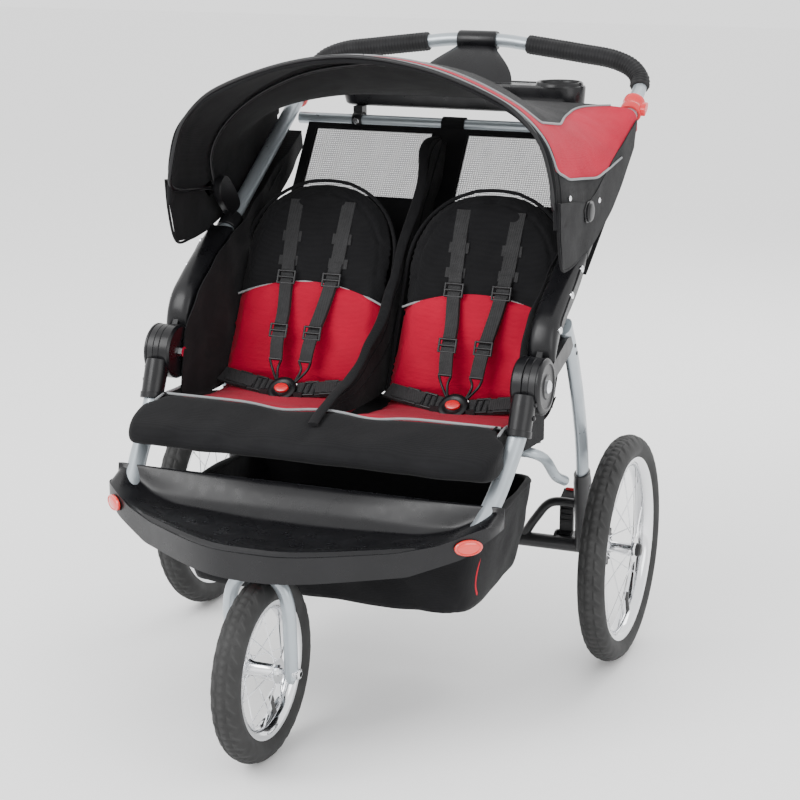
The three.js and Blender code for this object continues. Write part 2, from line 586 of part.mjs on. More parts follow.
// One sewn seat cushion for both seats, with a padded apron over the front edge.
function seatCushion() {
  const rows = [66, 0, -90, -150, -205, -216, -228, -246, -258, -264];
  const topZ = [
    [-264, 452], [-258, 466], [-246, 484], [-228, 499], [-216, 504], [-205, 503],
    [-150, 490], [-90, 472], [0, 452], [66, 446],
  ];
  const bottomZ = [[-264, 446], [-258, 438], [-216, 436], [-205, 477.6], [-150, 466.4], [66, 422.5]];
  const half = [[-264, 300], [-258, 320], [-246, 328], [-228, 328], [-216, 296], [66, 292]];
  const point = (u, v, heights) => {
    const y = rows[Math.round(v * (rows.length - 1))];
    const x = (u - 0.5) * 2;
    const edge = 1 - 0.35 * Math.max(0, Math.abs(x) - 0.8) * 5;
    const middle = (along(topZ, y) + along(bottomZ, y)) / 2;
    return V(x * along(half, y), y, middle + (along(heights, y) - middle) * edge);
  };
  return slab(10, rows.length - 1, (u, v) => point(u, v, topZ), (u, v) => point(u, v, bottomZ));
}
add("seat_cushion", seatCushion(), SEAT_FABRIC);

// Padded backrest with a round top; it leans on its pivot behind the cushion.
const BACKREST = { start: -20, length: 358, halfWidth: 134, round: 140, thickness: 26 };
const backAxis = V(0, Math.cos(BACK_TILT), Math.sin(BACK_TILT));
const backFront = V(0, -Math.sin(BACK_TILT), Math.cos(BACK_TILT));
const onBack = (x, s, lift) =>
  V(x, RECLINE.y, RECLINE.z).addScaledVector(backAxis, s).addScaledVector(backFront, lift);
function backrest() {
  const { start, length, halfWidth, round, thickness } = BACKREST;
  const width = (s) => {
    const over = Math.max(0, (s - (length - round)) / round);
    return halfWidth * Math.sqrt(Math.max(0.03, 1 - over ** 2.4));
  };
  const rows = [0, 0.3, 0.6, 0.75, 0.87, 0.95, 1];
  const point = (u, v, side) => {
    const s = start + (length - start) * rows[Math.round(v * (rows.length - 1))];
    const x = (u - 0.5) * 2;
    const rim = 1 - 0.5 * Math.max(0, Math.abs(x) - 0.75) * 4;
    return onBack(SEAT_X + x * width(s), s, (side * thickness * rim) / 2);
  };
  return slab(6, rows.length - 1, (u, v) => point(u, v, 1), (u, v) => point(u, v, -1));
}
addPair("backrest", backrest(), SEAT_FABRIC);

// Triangular cloth between the two seats.
add(
  "seat_divider",
  plate([[406, 868], [300, 878], [150, 758], [-92, 482], [58, 462], [228, 800], [340, 800]], -1.5, 1.5),
  BLACK_FABRIC,
);

// Five-point harness: two shoulder straps and two waist belts that meet behind the buckle.
function harness() {
  const front = BACKREST.thickness / 2 + 2;
  const straps = [-1, 1].map((s) =>
    ribbon(
      [onBack(SEAT_X + s * 34, 335, front), onBack(SEAT_X + s * 38, 230, front + 2),
        onBack(SEAT_X + s * 46, 110, front + 16), V(SEAT_X + s * 30, 34, 492), V(SEAT_X + s * 16, 10, 475)],
      25, 2.5, backFront, 7,
    ),
  );
  const belts = [-1, 1].map((s) =>
    ribbon(
      [V(SEAT_X + s * 124, 24, 466), V(SEAT_X + s * 80, 14, 468), V(SEAT_X + s * 10, 6, 467)],
      25, 2.5, V(0, -0.55, 0.83).normalize(), 3,
    ),
  );
  const plateBehind = box(SEAT_X - 24, SEAT_X + 24, -4, 20, 461, 469);
  const clearBuckle = buckleBody(1.2);
  return carve([...straps, ...belts, plateBehind], [clearBuckle]);
}

const buckleAxis = V(0, -0.62, 0.785).normalize();
function buckleBody(grow) {
  const centre = V(SEAT_X, BUCKLE.y, BUCKLE.z);
  const back = centre.clone().addScaledVector(buckleAxis, -BUCKLE.thickness / 2 - grow);
  const face = centre.clone().addScaledVector(buckleAxis, BUCKLE.thickness / 2 + grow);
  return rod(back, face, BUCKLE.radius + grow, 16);
}
const onBuckle = (lift) => V(SEAT_X, BUCKLE.y, BUCKLE.z).addScaledVector(buckleAxis, lift);
const BUTTON_RADIUS = 11;
addPair("harness", harness(), BLACK_FABRIC);
const buttonHole = rod(onBuckle(-2), onBuckle(20), BUTTON_RADIUS + GAP, 14);
addPair("buckle", carve([buckleBody(0)], [buttonHole]), BLACK_PLASTIC);
addPair("buckle_button", rod(onBuckle(2), onBuckle(8.5), BUTTON_RADIUS, 14), RED_PLASTIC);

// ---------------------------------------------------------------- rear legs, axle and basket
const LEG_PATH = [
  V(335, 52, 622), V(335, 90, 566), V(335, 128, 490), V(335, 162, 397), V(335, 178, 300), V(335, 186, 250),
];
const LEG_STEPS = 9;
const LEG = { halfWidth: 10, halfDepth: 19 }; // flat-sided oval tube
const legSection = (grow) => {
  const [w, d] = [LEG.halfWidth + grow, LEG.halfDepth + grow];
  const outline = [
    [-w, -d + 7], [-w + 6, -d], [w - 6, -d], [w, -d + 7], [w, d - 7], [w - 6, d], [-w + 6, d], [-w, d - 7],
  ];
  return new THREE.Shape(outline.map(([x, y]) => new THREE.Vector2(x, y)));
};
function rearLeg() {
  const leg = sweep(legSection(0), LEG_PATH, LEG_STEPS, 1);
  const { inner, outer, radius } = LEG_EAR;
  const ear = pinAcross(inner, outer, FOLD.y, FOLD.z, radius, 20);
  const strap = plate([[-82, 566], [36, 606], [58, 606], [70, 588], [54, 576], [-82, 537]], inner, outer);
  const hole = pinAcross(inner - 5, outer + 5, FOLD.y, FOLD.z, FOLD_BOLT_RADIUS + GAP);
  return carve([leg, ear, strap], [hole]);
}
addPair("rear_leg", rearLeg(), SILVER);

// Axle beam: cross tube with leg sockets, bent braces, brake lugs and the two wheel axles.
const BEAM = { radius: 13, z: 195, end: 340 };
const BRAKE = { x: 295, y: 215, z: 206, halfWidth: 13, pinRadius: 3.5 };
function axleBeam() {
  const { y } = REAR_WHEEL;
  const beam = pinAcross(-BEAM.end, BEAM.end, y, BEAM.z, BEAM.radius, 16);
  const stubs = [-1, 1].map((s) => pinAcross(s * 330, s * 424, y, REAR_WHEEL.radius, REAR_AXLE_RADIUS));
  const pieces = [beam, ...stubs];
  for (const s of [-1, 1]) {
    const socketPath = [[171, 335], [178, 300], [186, 250], [194, 197]].map(([py, pz]) => V(s * 335, py, pz));
    const bracePath = [V(s * 222, y, 200), V(s * 246, 190, 238), V(s * 276, 184, 272), V(s * 332, 182, 276)];
    pieces.push(sweep(legSection(4), socketPath, 3, 1));
    pieces.push(tube(bracePath, 8, 7, 8));
    for (const x of [BRAKE.x - BRAKE.halfWidth - 4, BRAKE.x + BRAKE.halfWidth]) {
      const [x0, x1] = s > 0 ? [x, x + 4] : [-x - 4, -x];
      pieces.push(box(x0, x1, y, BRAKE.y + 8, BEAM.z - 6, BRAKE.z + 7));
    }
    pieces.push(pinAcross(s * (BRAKE.x - 15), s * (BRAKE.x + 15), BRAKE.y, BRAKE.z, BRAKE.pinRadius, 10));
  }
  const hollow = (s) => sweep(legSection(0.5), LEG_PATH.map((p) => V(s * p.x, p.y, p.z)), LEG_STEPS, 1);
  return carve(pieces, [hollow(1), hollow(-1)]);
}
add("axle_beam", axleBeam(), BLACK_STEEL);

// Foot brake: a lever that stands on the beam and swings back and down.
function brakeLever() {
  const { x, y, z, halfWidth, pinRadius } = BRAKE;
  const [inner, outer] = [x - halfWidth + 0.5, x + halfWidth - 0.5];
  const eye = pinAcross(inner, outer, y, z, 7.6, 16);
  const outline = [[y - 2, z], [y + 7, z], [y + 8, 262], [y + 26, 276], [y + 24, 284], [y - 1, 272]];
  const bore = pinAcross(inner - 3, outer + 3, y, z, pinRadius + 2 * GAP, 10);
  return carve([eye, plate(outline, inner, outer)], [bore]);
}
addPair("brake_lever", brakeLever(), RED_PLASTIC);

// Bar that links the two rear legs under the seats.
const linkBarRight = [V(316, 130, 332), V(309, 100, 348), V(300, 62, 388), V(284, 42, 402), V(255, 40, 403)];
const linkBar = [...linkBarRight, ...linkBarRight.map((p) => V(-p.x, p.y, p.z)).reverse()];
add("leg_link_bar", tube(linkBar, 9, 22, 8), SILVER);

// Storage basket: a tapered cloth bag, open at the top.
const BASKET = {
  top: 338, floor: 182, wall: 3,
  rim: { halfWidth: 268, front: -212, rear: 114 },
  base: { halfWidth: 246, front: -198, rear: 100 },
};
const BOX_FACES = [
  [0, 2, 1], [0, 3, 2], [4, 5, 6], [4, 6, 7], [0, 1, 5], [0, 5, 4],
  [1, 2, 6], [1, 6, 5], [2, 3, 7], [2, 7, 6], [3, 0, 4], [3, 4, 7],
];
function basket() {
  const { top, floor, wall, rim, base } = BASKET;
  const outline = ({ halfWidth, front, rear }, inset, z) => [
    V(-halfWidth + inset, front + inset, z), V(halfWidth - inset, front + inset, z),
    V(halfWidth - inset, rear - inset, z), V(-halfWidth + inset, rear - inset, z),
  ];
  const bag = (inset, low, high) => {
    const corners = [...outline(base, inset, low), ...outline(rim, inset, high)];
    const geometry = new THREE.BufferGeometry();
    const places = corners.flatMap((p) => p.toArray());
    geometry.setAttribute("position", new THREE.Float32BufferAttribute(places, 3));
    geometry.setIndex(BOX_FACES.flat());
    return outward(geometry);
  };
  return carve([bag(0, floor, top)], [bag(wall, floor + wall, top + 7)]);
}
add("basket", basket(), BLACK_FABRIC);

export default stroller;
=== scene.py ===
"""Looks of a side-by-side double jogging stroller.

Shapes are written in millimetres, for the right side where there are two, and scaled when built.
"""

import math

import bmesh
import bpy
import numpy as np
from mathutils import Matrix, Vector, noise


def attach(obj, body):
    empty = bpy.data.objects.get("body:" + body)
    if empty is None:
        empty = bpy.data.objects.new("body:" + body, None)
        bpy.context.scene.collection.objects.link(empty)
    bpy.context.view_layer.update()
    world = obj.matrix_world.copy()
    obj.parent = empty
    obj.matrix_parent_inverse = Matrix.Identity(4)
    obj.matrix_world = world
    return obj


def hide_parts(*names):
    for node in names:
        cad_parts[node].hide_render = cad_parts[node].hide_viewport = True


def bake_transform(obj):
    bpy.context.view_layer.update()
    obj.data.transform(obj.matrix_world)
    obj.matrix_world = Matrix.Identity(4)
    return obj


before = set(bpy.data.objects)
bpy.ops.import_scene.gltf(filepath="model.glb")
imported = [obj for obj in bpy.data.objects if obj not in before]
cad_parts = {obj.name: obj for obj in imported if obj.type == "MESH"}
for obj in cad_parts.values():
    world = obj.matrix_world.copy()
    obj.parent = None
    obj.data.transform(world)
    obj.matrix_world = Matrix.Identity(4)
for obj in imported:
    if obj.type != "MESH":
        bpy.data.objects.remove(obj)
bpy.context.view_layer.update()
MM = 0.001
SIDES = (("right", 1), ("left", -1))
X, Y, Z = np.eye(3)

# Axes and centres that several pieces share, at x = 0.
HINGE = (0, -95, 556)
CANOPY_PIVOT = (0, 112, 805)
CROSS_BAR = (0, 428, 897)
REAR_AXIS = (0, 195, 200)
BRAKE_PIN = (0, 215, 206)

# ------------------------------------------------------------------ camera, floor and light
LENS_LENGTH, SENSOR_WIDTH = 90.2, 36
WORLD_STRENGTH = 1.7
FLOOR_SIZE, FLOOR_TONE = 30, 0.95
AZIMUTH, ELEVATION = math.radians(21.71), math.radians(14.77)
TARGET = Vector((0.06385, -0.005, 0.4843))
DISTANCE = 3.3896
SIDEWAYS = math.cos(ELEVATION)
BACKWARDS = Vector((math.sin(AZIMUTH) * SIDEWAYS, -math.cos(AZIMUTH) * SIDEWAYS, math.sin(ELEVATION)))


def add_camera():
    camera = bpy.data.objects.new("camera", bpy.data.cameras.new("camera"))
    camera.data.lens = LENS_LENGTH
    camera.data.sensor_width = SENSOR_WIDTH
    camera.location = TARGET + BACKWARDS * DISTANCE
    camera.rotation_mode = "QUATERNION"
    camera.rotation_quaternion = (-BACKWARDS).to_track_quat("-Z", "Y")
    bpy.context.scene.collection.objects.link(camera)
    bpy.context.scene.camera = camera


def add_light(name, place, aim, size, power):
    lamp = bpy.data.objects.new(name, bpy.data.lights.new(name, "AREA"))
    lamp.data.shape = "SQUARE"
    lamp.data.size = size
    lamp.data.energy = power
    lamp.location = place
    lamp.rotation_mode = "QUATERNION"
    lamp.rotation_quaternion = (Vector(aim) - Vector(place)).to_track_quat("-Z", "Y")
    bpy.context.scene.collection.objects.link(lamp)


def add_studio():
    world = bpy.data.worlds.new("studio")
    bpy.context.scene.world = world
    world.use_nodes = True
    background = world.node_tree.nodes["Background"]
    background.inputs["Color"].default_value = (1, 1, 1, 1)
    background.inputs["Strength"].default_value = WORLD_STRENGTH
    add_light("key", (-1.6, -2.6, 3.0), (0, 0, 0.5), 2.2, 120)
    add_light("fill", (2.8, -1.6, 1.6), (0, 0, 0.5), 1.8, 25)
    add_light("back", (0.6, 2.8, 2.6), (0, 0, 0.6), 2.0, 50)
    bpy.ops.mesh.primitive_plane_add(size=FLOOR_SIZE, location=(0, 0, -0.0005))
    floor = bpy.context.object
    floor.name = "floor"
    paint = bpy.data.materials.new("floor")
    paint.use_nodes = True
    shader = paint.node_tree.nodes["Principled BSDF"]
    shader.inputs["Base Color"].default_value = (FLOOR_TONE, FLOOR_TONE, FLOOR_TONE, 1)
    shader.inputs["Roughness"].default_value = 0.9
    floor.data.materials.append(paint)


add_camera()
add_studio()


# ------------------------------------------------------------------ materials
class Nodes:
    """A material with its shader, and short ways to add nodes to it."""

    def __init__(self, name):
        self.material = bpy.data.materials.new(name)
        self.material.use_nodes = True
        self.tree = self.material.node_tree
        self.shader = self.tree.nodes["Principled BSDF"]
        self.place = self.add("ShaderNodeTexCoord").outputs["Object"]

    def add(self, kind, **settings):
        node = self.tree.nodes.new(kind)
        for key, value in settings.items():
            setattr(node, key, value)
        return node

    def plug(self, value, socket):
        """Links a node's output to a socket, or gives the socket a plain value."""
        if hasattr(value, "is_output"):
            self.tree.links.new(value, socket)
        else:
            socket.default_value = value

    def fill(self, node, *values):
        """Gives a node's first sockets their values, in order."""
        for socket, value in zip(node.inputs, values):
            self.plug(value, socket)
        return node.outputs[0]

    def noise(self, scale, detail=3.0):
        node = self.add("ShaderNodeTexNoise")
        for name, value in (("Vector", self.place), ("Scale", scale), ("Detail", detail)):
            self.plug(value, node.inputs[name])
        return node.outputs["Fac"]

    def math(self, operation, a, b=0.0):
        return self.fill(self.add("ShaderNodeMath", operation=operation), a, b)

    def ramp(self, value, low, high, out_low=0.0, out_high=1.0):
        return self.fill(self.add("ShaderNodeMapRange"), value, low, high, out_low, out_high)

    def mix(self, factor, a, b, blend="MIX"):
        """A blend of two colours, each a node's output or three numbers."""
        node = self.add("ShaderNodeMix", data_type="RGBA", blend_type=blend)
        for index, value in ((0, factor), (6, a), (7, b)):
            self.plug((*value, 1) if isinstance(value, tuple) else value, node.inputs[index])
        return node.outputs[2]

    def bands(self, direction, period):
        """A wave from 0 to 1 that repeats every period millimetres along a direction."""
        dot = self.add("ShaderNodeVectorMath", operation="DOT_PRODUCT")
        self.plug(self.place, dot.inputs[0])
        dot.inputs[1].default_value = Vector(direction).normalized() * (2000 * math.pi / period)
        return self.ramp(self.math("SINE", dot.outputs["Value"]), -1, 1)

    def weave(self, period):
        across = self.bands((1, 0, 0), period)
        up = self.bands((0, 0.6, 0.8), period)
        down = self.bands((0, 0.8, -0.6), period * 1.31)
        return self.math("MULTIPLY", self.math("MAXIMUM", across, up), self.math("ADD", down, 0.6))

    def bump(self, height, strength, distance=0.001):
        node = self.add("ShaderNodeBump")
        for name, value in (("Strength", strength), ("Distance", distance), ("Height", height)):
            self.plug(value, node.inputs[name])
        self.plug(node.outputs[0], self.shader.inputs["Normal"])


def shade(color, factor):
    return tuple(min(1.0, c * factor) for c in color)


def finish_material(nodes, base, rough, metal, spread, mottle, wear):
    """Colour variation, roughness variation and worn edges on the shader."""
    factor = nodes.ramp(nodes.noise(mottle, 4), 0.3, 0.7)
    color = nodes.mix(factor, shade(base, 1 - spread), shade(base, 1 + spread))
    if wear:
        edge = nodes.add("ShaderNodeNewGeometry").outputs["Pointiness"]
        worn = nodes.math("MULTIPLY", nodes.ramp(edge, 0.52, 0.62), wear)
        color = nodes.mix(worn, color, shade(tuple(c + 0.05 for c in base), 2.2))
    nodes.plug(color, nodes.shader.inputs["Base Color"])
    roughness = nodes.ramp(nodes.noise(mottle * 3, 5), 0.3, 0.7, rough - 0.07, rough + 0.07)
    nodes.plug(roughness, nodes.shader.inputs["Roughness"])
    nodes.shader.inputs["Metallic"].default_value = metal


def hard(name, base, rough, metal=0.0, spread=0.08, grain=900.0, strength=0.06, **finish):
    """Painted, plated or moulded surface: fine grain, slight mottling and lighter worn edges."""
    finish = {"wear": 0.08, "coat": 0.0, "shine": 0.5, **finish}
    nodes = Nodes(name)
    finish_material(nodes, base, rough, metal, spread, 14.0, finish["wear"])
    nodes.shader.inputs["Coat Weight"].default_value = finish["coat"]
    nodes.shader.inputs["Coat Roughness"].default_value = 0.15
    nodes.shader.inputs["Specular IOR Level"].default_value = finish["shine"]
    nodes.bump(nodes.noise(grain, 2), strength, 0.0004)
    return nodes.material


def woven(name, base, period=1.7, rough=0.85, spread=0.14, sheen=0.05, creases=0.25):
    """Woven cloth: thread grid as painted shade between the threads and as bump, broad creases and a little
    sheen.
    """
    nodes = Nodes(name)
    threads = nodes.weave(period)
    finish_material(nodes, base, rough, 0.0, spread, 9.0, 0.0)
    socket = nodes.shader.inputs["Base Color"]
    mottled = socket.links[0].from_socket
    # painted shade: the colour is multiplied by 0.72 in the gaps between threads
    thread_gap_shade = nodes.mix(1.0, mottled, (0.72, 0.72, 0.72), "MULTIPLY")
    nodes.plug(nodes.mix(nodes.ramp(threads, 0.3, 1.2), thread_gap_shade, mottled), socket)
    nodes.shader.inputs["Sheen Weight"].default_value = sheen
    nodes.shader.inputs["Sheen Roughness"].default_value = 0.5
    nodes.shader.inputs["Specular IOR Level"].default_value = 0.15
    broad = nodes.math("MULTIPLY", nodes.noise(26.0, 3), 9.0 * creases)
    nodes.bump(nodes.math("ADD", nodes.math("MULTIPLY", threads, 0.35), broad), 0.5, 0.0012)
    return nodes


def cloth(name, base, **weave):
    return woven(name, base, **weave).material


def webbing(name, base):
    """Flat woven belt: ribs across and a herringbone along it."""
    nodes = Nodes(name)
    finish_material(nodes, base, 0.7, 0.0, 0.15, 30.0, 0.0)
    ribs = nodes.math("ADD", nodes.bands((0, 0.4, 1), 2.4), nodes.bands((1, 0.3, 0.3), 3.1))
    nodes.shader.inputs["Sheen Weight"].default_value = 0.04
    nodes.bump(ribs, 0.6, 0.0006)
    return nodes.material


def net(name, base, period=4.2):
    """Open knitted mesh: round holes between threads."""
    nodes = Nodes(name)
    finish_material(nodes, base, 0.75, 0.0, 0.1, 20.0, 0.0)
    rows = nodes.math("MULTIPLY", nodes.bands((1, 0, 0), period), nodes.bands((0, 0.6, 0.8), period))
    open_part = nodes.ramp(rows, 0.12, 0.28, 0.85, 0.12)
    nodes.plug(open_part, nodes.shader.inputs["Alpha"])
    nodes.bump(rows, 0.4, 0.0008)
    return nodes.material


def two_tone(name, inside, outside):
    """Cloth whose colour changes where the stored distance RED_PART crosses zero."""
    nodes = woven(name, outside)
    socket = nodes.shader.inputs["Base Color"]
    plain = socket.links[0].from_socket
    stored = nodes.add("ShaderNodeAttribute", attribute_name=RED_PART)
    above = nodes.math("GREATER_THAN", stored.outputs["Fac"], 0.0)
    mottled = nodes.mix(nodes.noise(12.0, 2.0), shade(inside, 0.8), shade(inside, 1.2))
    nodes.plug(nodes.mix(above, plain, mottled), socket)
    return nodes.material


RED_PART = "red"
BLACK = (0.007, 0.007, 0.008)
RED = (0.40, 0.002, 0.026)
GREY = (0.30, 0.31, 0.32)
SILVER = hard("silver_paint", (0.36, 0.40, 0.43), 0.34, 0.55, coat=0.3)
PLASTIC = hard("black_plastic", (0.007, 0.007, 0.008), 0.34, spread=0.2, strength=0.05, shine=0.3)
GLOSS = hard(
    "black_gloss", (0.006, 0.006, 0.007), 0.30, spread=0.2, strength=0.02, grain=300.0, shine=0.3, wear=0.0
)
STEEL = hard("black_steel", (0.012, 0.012, 0.013), 0.38, 0.1)
CHROME = hard("chrome", (0.80, 0.81, 0.83), 0.12, 1.0, spread=0.03, strength=0.03, wear=0.0)
ALLOY = hard("alloy", (0.55, 0.56, 0.58), 0.3, 0.9)
RUBBER = hard("tyre_rubber", (0.016, 0.016, 0.016), 0.78, spread=0.3, grain=700.0, strength=0.25, wear=0.3)
FOAM = hard("grip_foam", (0.007, 0.007, 0.008), 0.88, spread=0.3, grain=420.0, strength=0.6, wear=0.2)
RED_PLASTIC = hard("red_plastic", (0.60, 0.012, 0.018), 0.26, spread=0.1, coat=0.3)
LENS = hard(
    "reflector_lens", (0.62, 0.03, 0.02), 0.12, spread=0.15, grain=260.0, strength=0.5, wear=0.0, coat=0.8
)
BLACK_CLOTH = cloth("black_cloth", BLACK)
RED_CLOTH = cloth("red_cloth", RED)
PIPING = cloth("grey_piping", GREY, period=1.1)
RED_PIPING = cloth("red_piping", (0.55, 0.01, 0.03), period=1.1)
WEBBING = webbing("webbing", (0.009, 0.009, 0.010))
NET = net("window_mesh", (0.62, 0.62, 0.63))
SEAT_CLOTH = two_tone("seat_cloth", RED, BLACK)
CANOPY_CLOTH = two_tone("canopy_cloth", RED, BLACK)


# ------------------------------------------------------------------ curves and shapes
def unit(v):
    v = np.asarray(v, float)
    return v / np.linalg.norm(v)


def turns(count):
    """Angles round a full turn."""
    return np.linspace(0, 2 * math.pi, count, endpoint=False)


def curve(points, count):
    """Evenly spaced points on a smooth curve through the given ones."""
    p = np.asarray(points, float)
    t = np.concatenate([[0], np.cumsum(np.sqrt(np.linalg.norm(np.diff(p, axis=0), axis=1)))])
    slope = np.diff(p, axis=0) / np.diff(t)[:, None]
    tangent = np.vstack([slope[:1], np.zeros_like(p[1:-1]), slope[-1:]])
    for i in range(1, len(p) - 1):
        before, after = t[i] - t[i - 1], t[i + 1] - t[i]
        tangent[i] = (slope[i - 1] * after + slope[i] * before) / (before + after)
    fine = np.linspace(0, t[-1], max(200, count * 6))
    k = np.clip(np.searchsorted(t, fine, side="right") - 1, 0, len(p) - 2)
    span = (t[k + 1] - t[k])[:, None]
    s = ((fine - t[k])[:, None]) / span
    path = (
        (2 * s**3 - 3 * s**2 + 1) * p[k]
        + (s**3 - 2 * s**2 + s) * span * tangent[k]
        + (-2 * s**3 + 3 * s**2) * p[k + 1]
        + (s**3 - s**2) * span * tangent[k + 1]
    )
    length = np.concatenate([[0], np.cumsum(np.linalg.norm(np.diff(path, axis=0), axis=1))])
    even = np.linspace(0, length[-1], count)
    return np.stack([np.interp(even, length, path[:, a]) for a in range(path.shape[1])], axis=1)


def frames(path, hint):
    """A pair of directions across the path at each of its points, turning as little as possible."""
    path = np.asarray(path, float)
    tangents = np.gradient(path, axis=0)
    across = np.asarray(hint, float)
    pairs = []
    for tangent in tangents:
        tangent = unit(tangent)
        across = unit(across - tangent * (across @ tangent))
        pairs.append((across, np.cross(tangent, across)))
    return pairs


def normals_of(rows):
    grid = np.asarray(rows, float)
    normal = np.cross(np.gradient(grid, axis=1), np.gradient(grid, axis=0))
    size = np.linalg.norm(normal, axis=2, keepdims=True)
    return normal / np.maximum(size, 1e-9)


class Shape:
    """Points in millimetres, with faces that each have a material index."""

    def __init__(self):
        self.points, self.faces, self.slots = [], [], []

    def grid(self, rows, around=False, ends=False, slot=0):
        first, count = len(self.points), len(rows[0])
        for row in rows:
            self.points.extend(np.asarray(row, float))
        for i in range(len(rows) - 1):
            for j in range(count if around else count - 1):
                a, b = first + i * count + j, first + i * count + (j + 1) % count
                self.face((a, b, b + count, a + count), slot)
        if ends:
            for start in (first, first + (len(rows) - 1) * count):
                self.face(tuple(range(start, start + count)), slot)
        return self

    def face(self, corners, slot=0):
        self.faces.append(corners)
        self.slots.append(slot)

    def tube(self, path, radius, sides=20, slot=0, hint=(0.13, 0.2, 1), squash=(1, 1)):
        """A round or oval bar along a path; the radius is a number or one for each point."""
        radii = np.broadcast_to(radius, (len(path),))
        angles = turns(sides)
        rows = [
            [p + r * (a * squash[0] * math.cos(t) + b * squash[1] * math.sin(t)) for t in angles]
            for p, r, (a, b) in zip(np.asarray(path, float), radii, frames(path, hint))
        ]
        return self.grid(rows, around=True, ends=True, slot=slot)

    def lathe(self, profile, centre, axis, sides=48, slot=0, closed=False):
        """A body turned about an axis from (along, radius) pairs."""
        axis = unit(axis)
        a = unit(np.cross(axis, (0.3, 0.9, 0.2) if abs(axis[0]) > 0.5 else (1, 0, 0)))
        b = np.cross(axis, a)
        angles = turns(sides)
        rows = [
            [np.asarray(centre) + axis * along + r * (a * math.cos(t) + b * math.sin(t)) for t in angles]
            for along, r in profile
        ]
        if closed:
            rows.append(rows[0])
        return self.grid(rows, around=True, ends=not closed, slot=slot)

    def prism(self, outline, x0, x1, slot=0):
        """A plate between two X planes from an outline of (y, z) points."""
        return self.grid([[(x, y, z) for y, z in outline] for x in (x0, x1)], True, True, slot)

    def box(self, low, high, slot=0):
        (x0, y0, z0), (x1, y1, z1) = low, high
        return self.prism([(y0, z0), (y1, z0), (y1, z1), (y0, z1)], x0, x1, slot)

    def sheet(self, rows, thickness, slots=(0, 0)):
        """A sheet with thickness: the rows are its outer face."""
        outer = np.asarray(rows, float)
        inner = outer - normals_of(outer) * thickness
        first = len(self.points)
        height, width = outer.shape[:2]
        self.grid(outer, slot=slots[0]).grid(inner, slot=slots[1])
        ring = [(0, j) for j in range(width)] + [(i, width - 1) for i in range(1, height)]
        ring += [(height - 1, j) for j in range(width - 2, -1, -1)]
        ring += [(i, 0) for i in range(height - 2, 0, -1)]
        at = [first + i * width + j for i, j in ring]
        back = height * width
        for a, b in zip(at, at[1:] + at[:1]):
            self.face((a, b, b + back, a + back), slots[0])
        return self

    def dome(self, centre, across, along, out, profile):
        """An oval body in rings of (size, lift) pairs, on two half sizes and the way it faces."""
        centre, across, along, out = (np.asarray(v, float) for v in (centre, across, along, out))
        rings = []
        for size, lift in profile:
            middle = centre + out * lift
            rings.append([middle + size * (across * math.cos(t) + along * math.sin(t)) for t in turns(40)])
        return self.grid(rings, around=True, ends=True)

    def pillow(self, point, columns, rows, slot=0):
        """A closed pad: point(u, v, side) with u and v from -1 to 1; both sides meet at the edges."""
        us, vs = np.linspace(-1, 1, columns + 1), np.linspace(-1, 1, rows + 1)
        for side in (1, -1):
            self.grid([[point(u, v, side) for u in us] for v in vs], slot=slot)
        return self


def build(shape, name, materials, mirror=1, bevel=0.0, smooth=40, subdivide=0, weld=0.02):
    """Turns a shape into a piece, mirrored to the left side where mirror is -1."""
    mesh = bpy.data.meshes.new(name)
    points = [(p[0] * MM * mirror, p[1] * MM, p[2] * MM) for p in shape.points]
    mesh.from_pydata(points, [], shape.faces)
    mesh.polygons.foreach_set("material_index", shape.slots)
    for material in materials:
        mesh.materials.append(material)
    form = bmesh.new()
    form.from_mesh(mesh)
    bmesh.ops.remove_doubles(form, verts=form.verts, dist=weld * MM)
    bmesh.ops.recalc_face_normals(form, faces=form.faces)
    form.to_mesh(mesh)
    form.free()
    mesh.polygons.foreach_set("use_smooth", [True] * len(mesh.polygons))
    mesh.set_sharp_from_angle(angle=math.radians(smooth))
    piece = bpy.data.objects.new(name, mesh)
    bpy.context.scene.collection.objects.link(piece)
    if bevel:
        rounding = piece.modifiers.new("rounding", "BEVEL")
        rounding.width = bevel * MM
        rounding.segments = 3
        rounding.limit_method = "ANGLE"
        rounding.angle_limit = math.radians(32)
    if subdivide:
        finer = piece.modifiers.new("finer", "SUBSURF")
        finer.levels = finer.render_levels = subdivide
    return piece


def settle(piece):
    """Applies a piece's modifiers to its mesh."""
    view = bpy.context.evaluated_depsgraph_get()
    mesh = bpy.data.meshes.new_from_object(piece.evaluated_get(view))
    piece.modifiers.clear()
    piece.data = mesh
    return piece


def put(piece, body, slot, *nodes):
    """The piece rides a body and stands for CAD nodes, which are hidden; slot is not used."""
    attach(piece, body)
    if nodes:
        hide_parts(*nodes)


def blend_piece(piece, slot, node, bodies, start, end):
    """The piece stands for a CAD node, which is hidden, and its transform is baked into its mesh; slot,
    bodies, start and end are not used.
    """
    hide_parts(node)
    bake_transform(piece)


def store(piece, values):
    """Keeps a distance at each point of a piece, for its two-tone cloth."""
    attribute = piece.data.attributes.new(RED_PART, "FLOAT", "POINT")
    attribute.data.foreach_set("value", np.asarray(values, np.float32))


def points_of(piece):
    return np.array([v.co for v in piece.data.vertices], float).reshape(-1, 3) / MM


def crumple(piece, size, period, seed, direction=None):
    """Moves points by smooth noise, as cloth that isn't quite taut."""
    normals = [v.normal.copy() for v in piece.data.vertices]
    for vertex, normal in zip(piece.data.vertices, normals):
        place = vertex.co / (period * MM) + Vector((seed, 0, 0))
        shift = noise.noise(place) * size * MM
        vertex.co += (Vector(direction) if direction else normal) * shift
    piece.data.update()


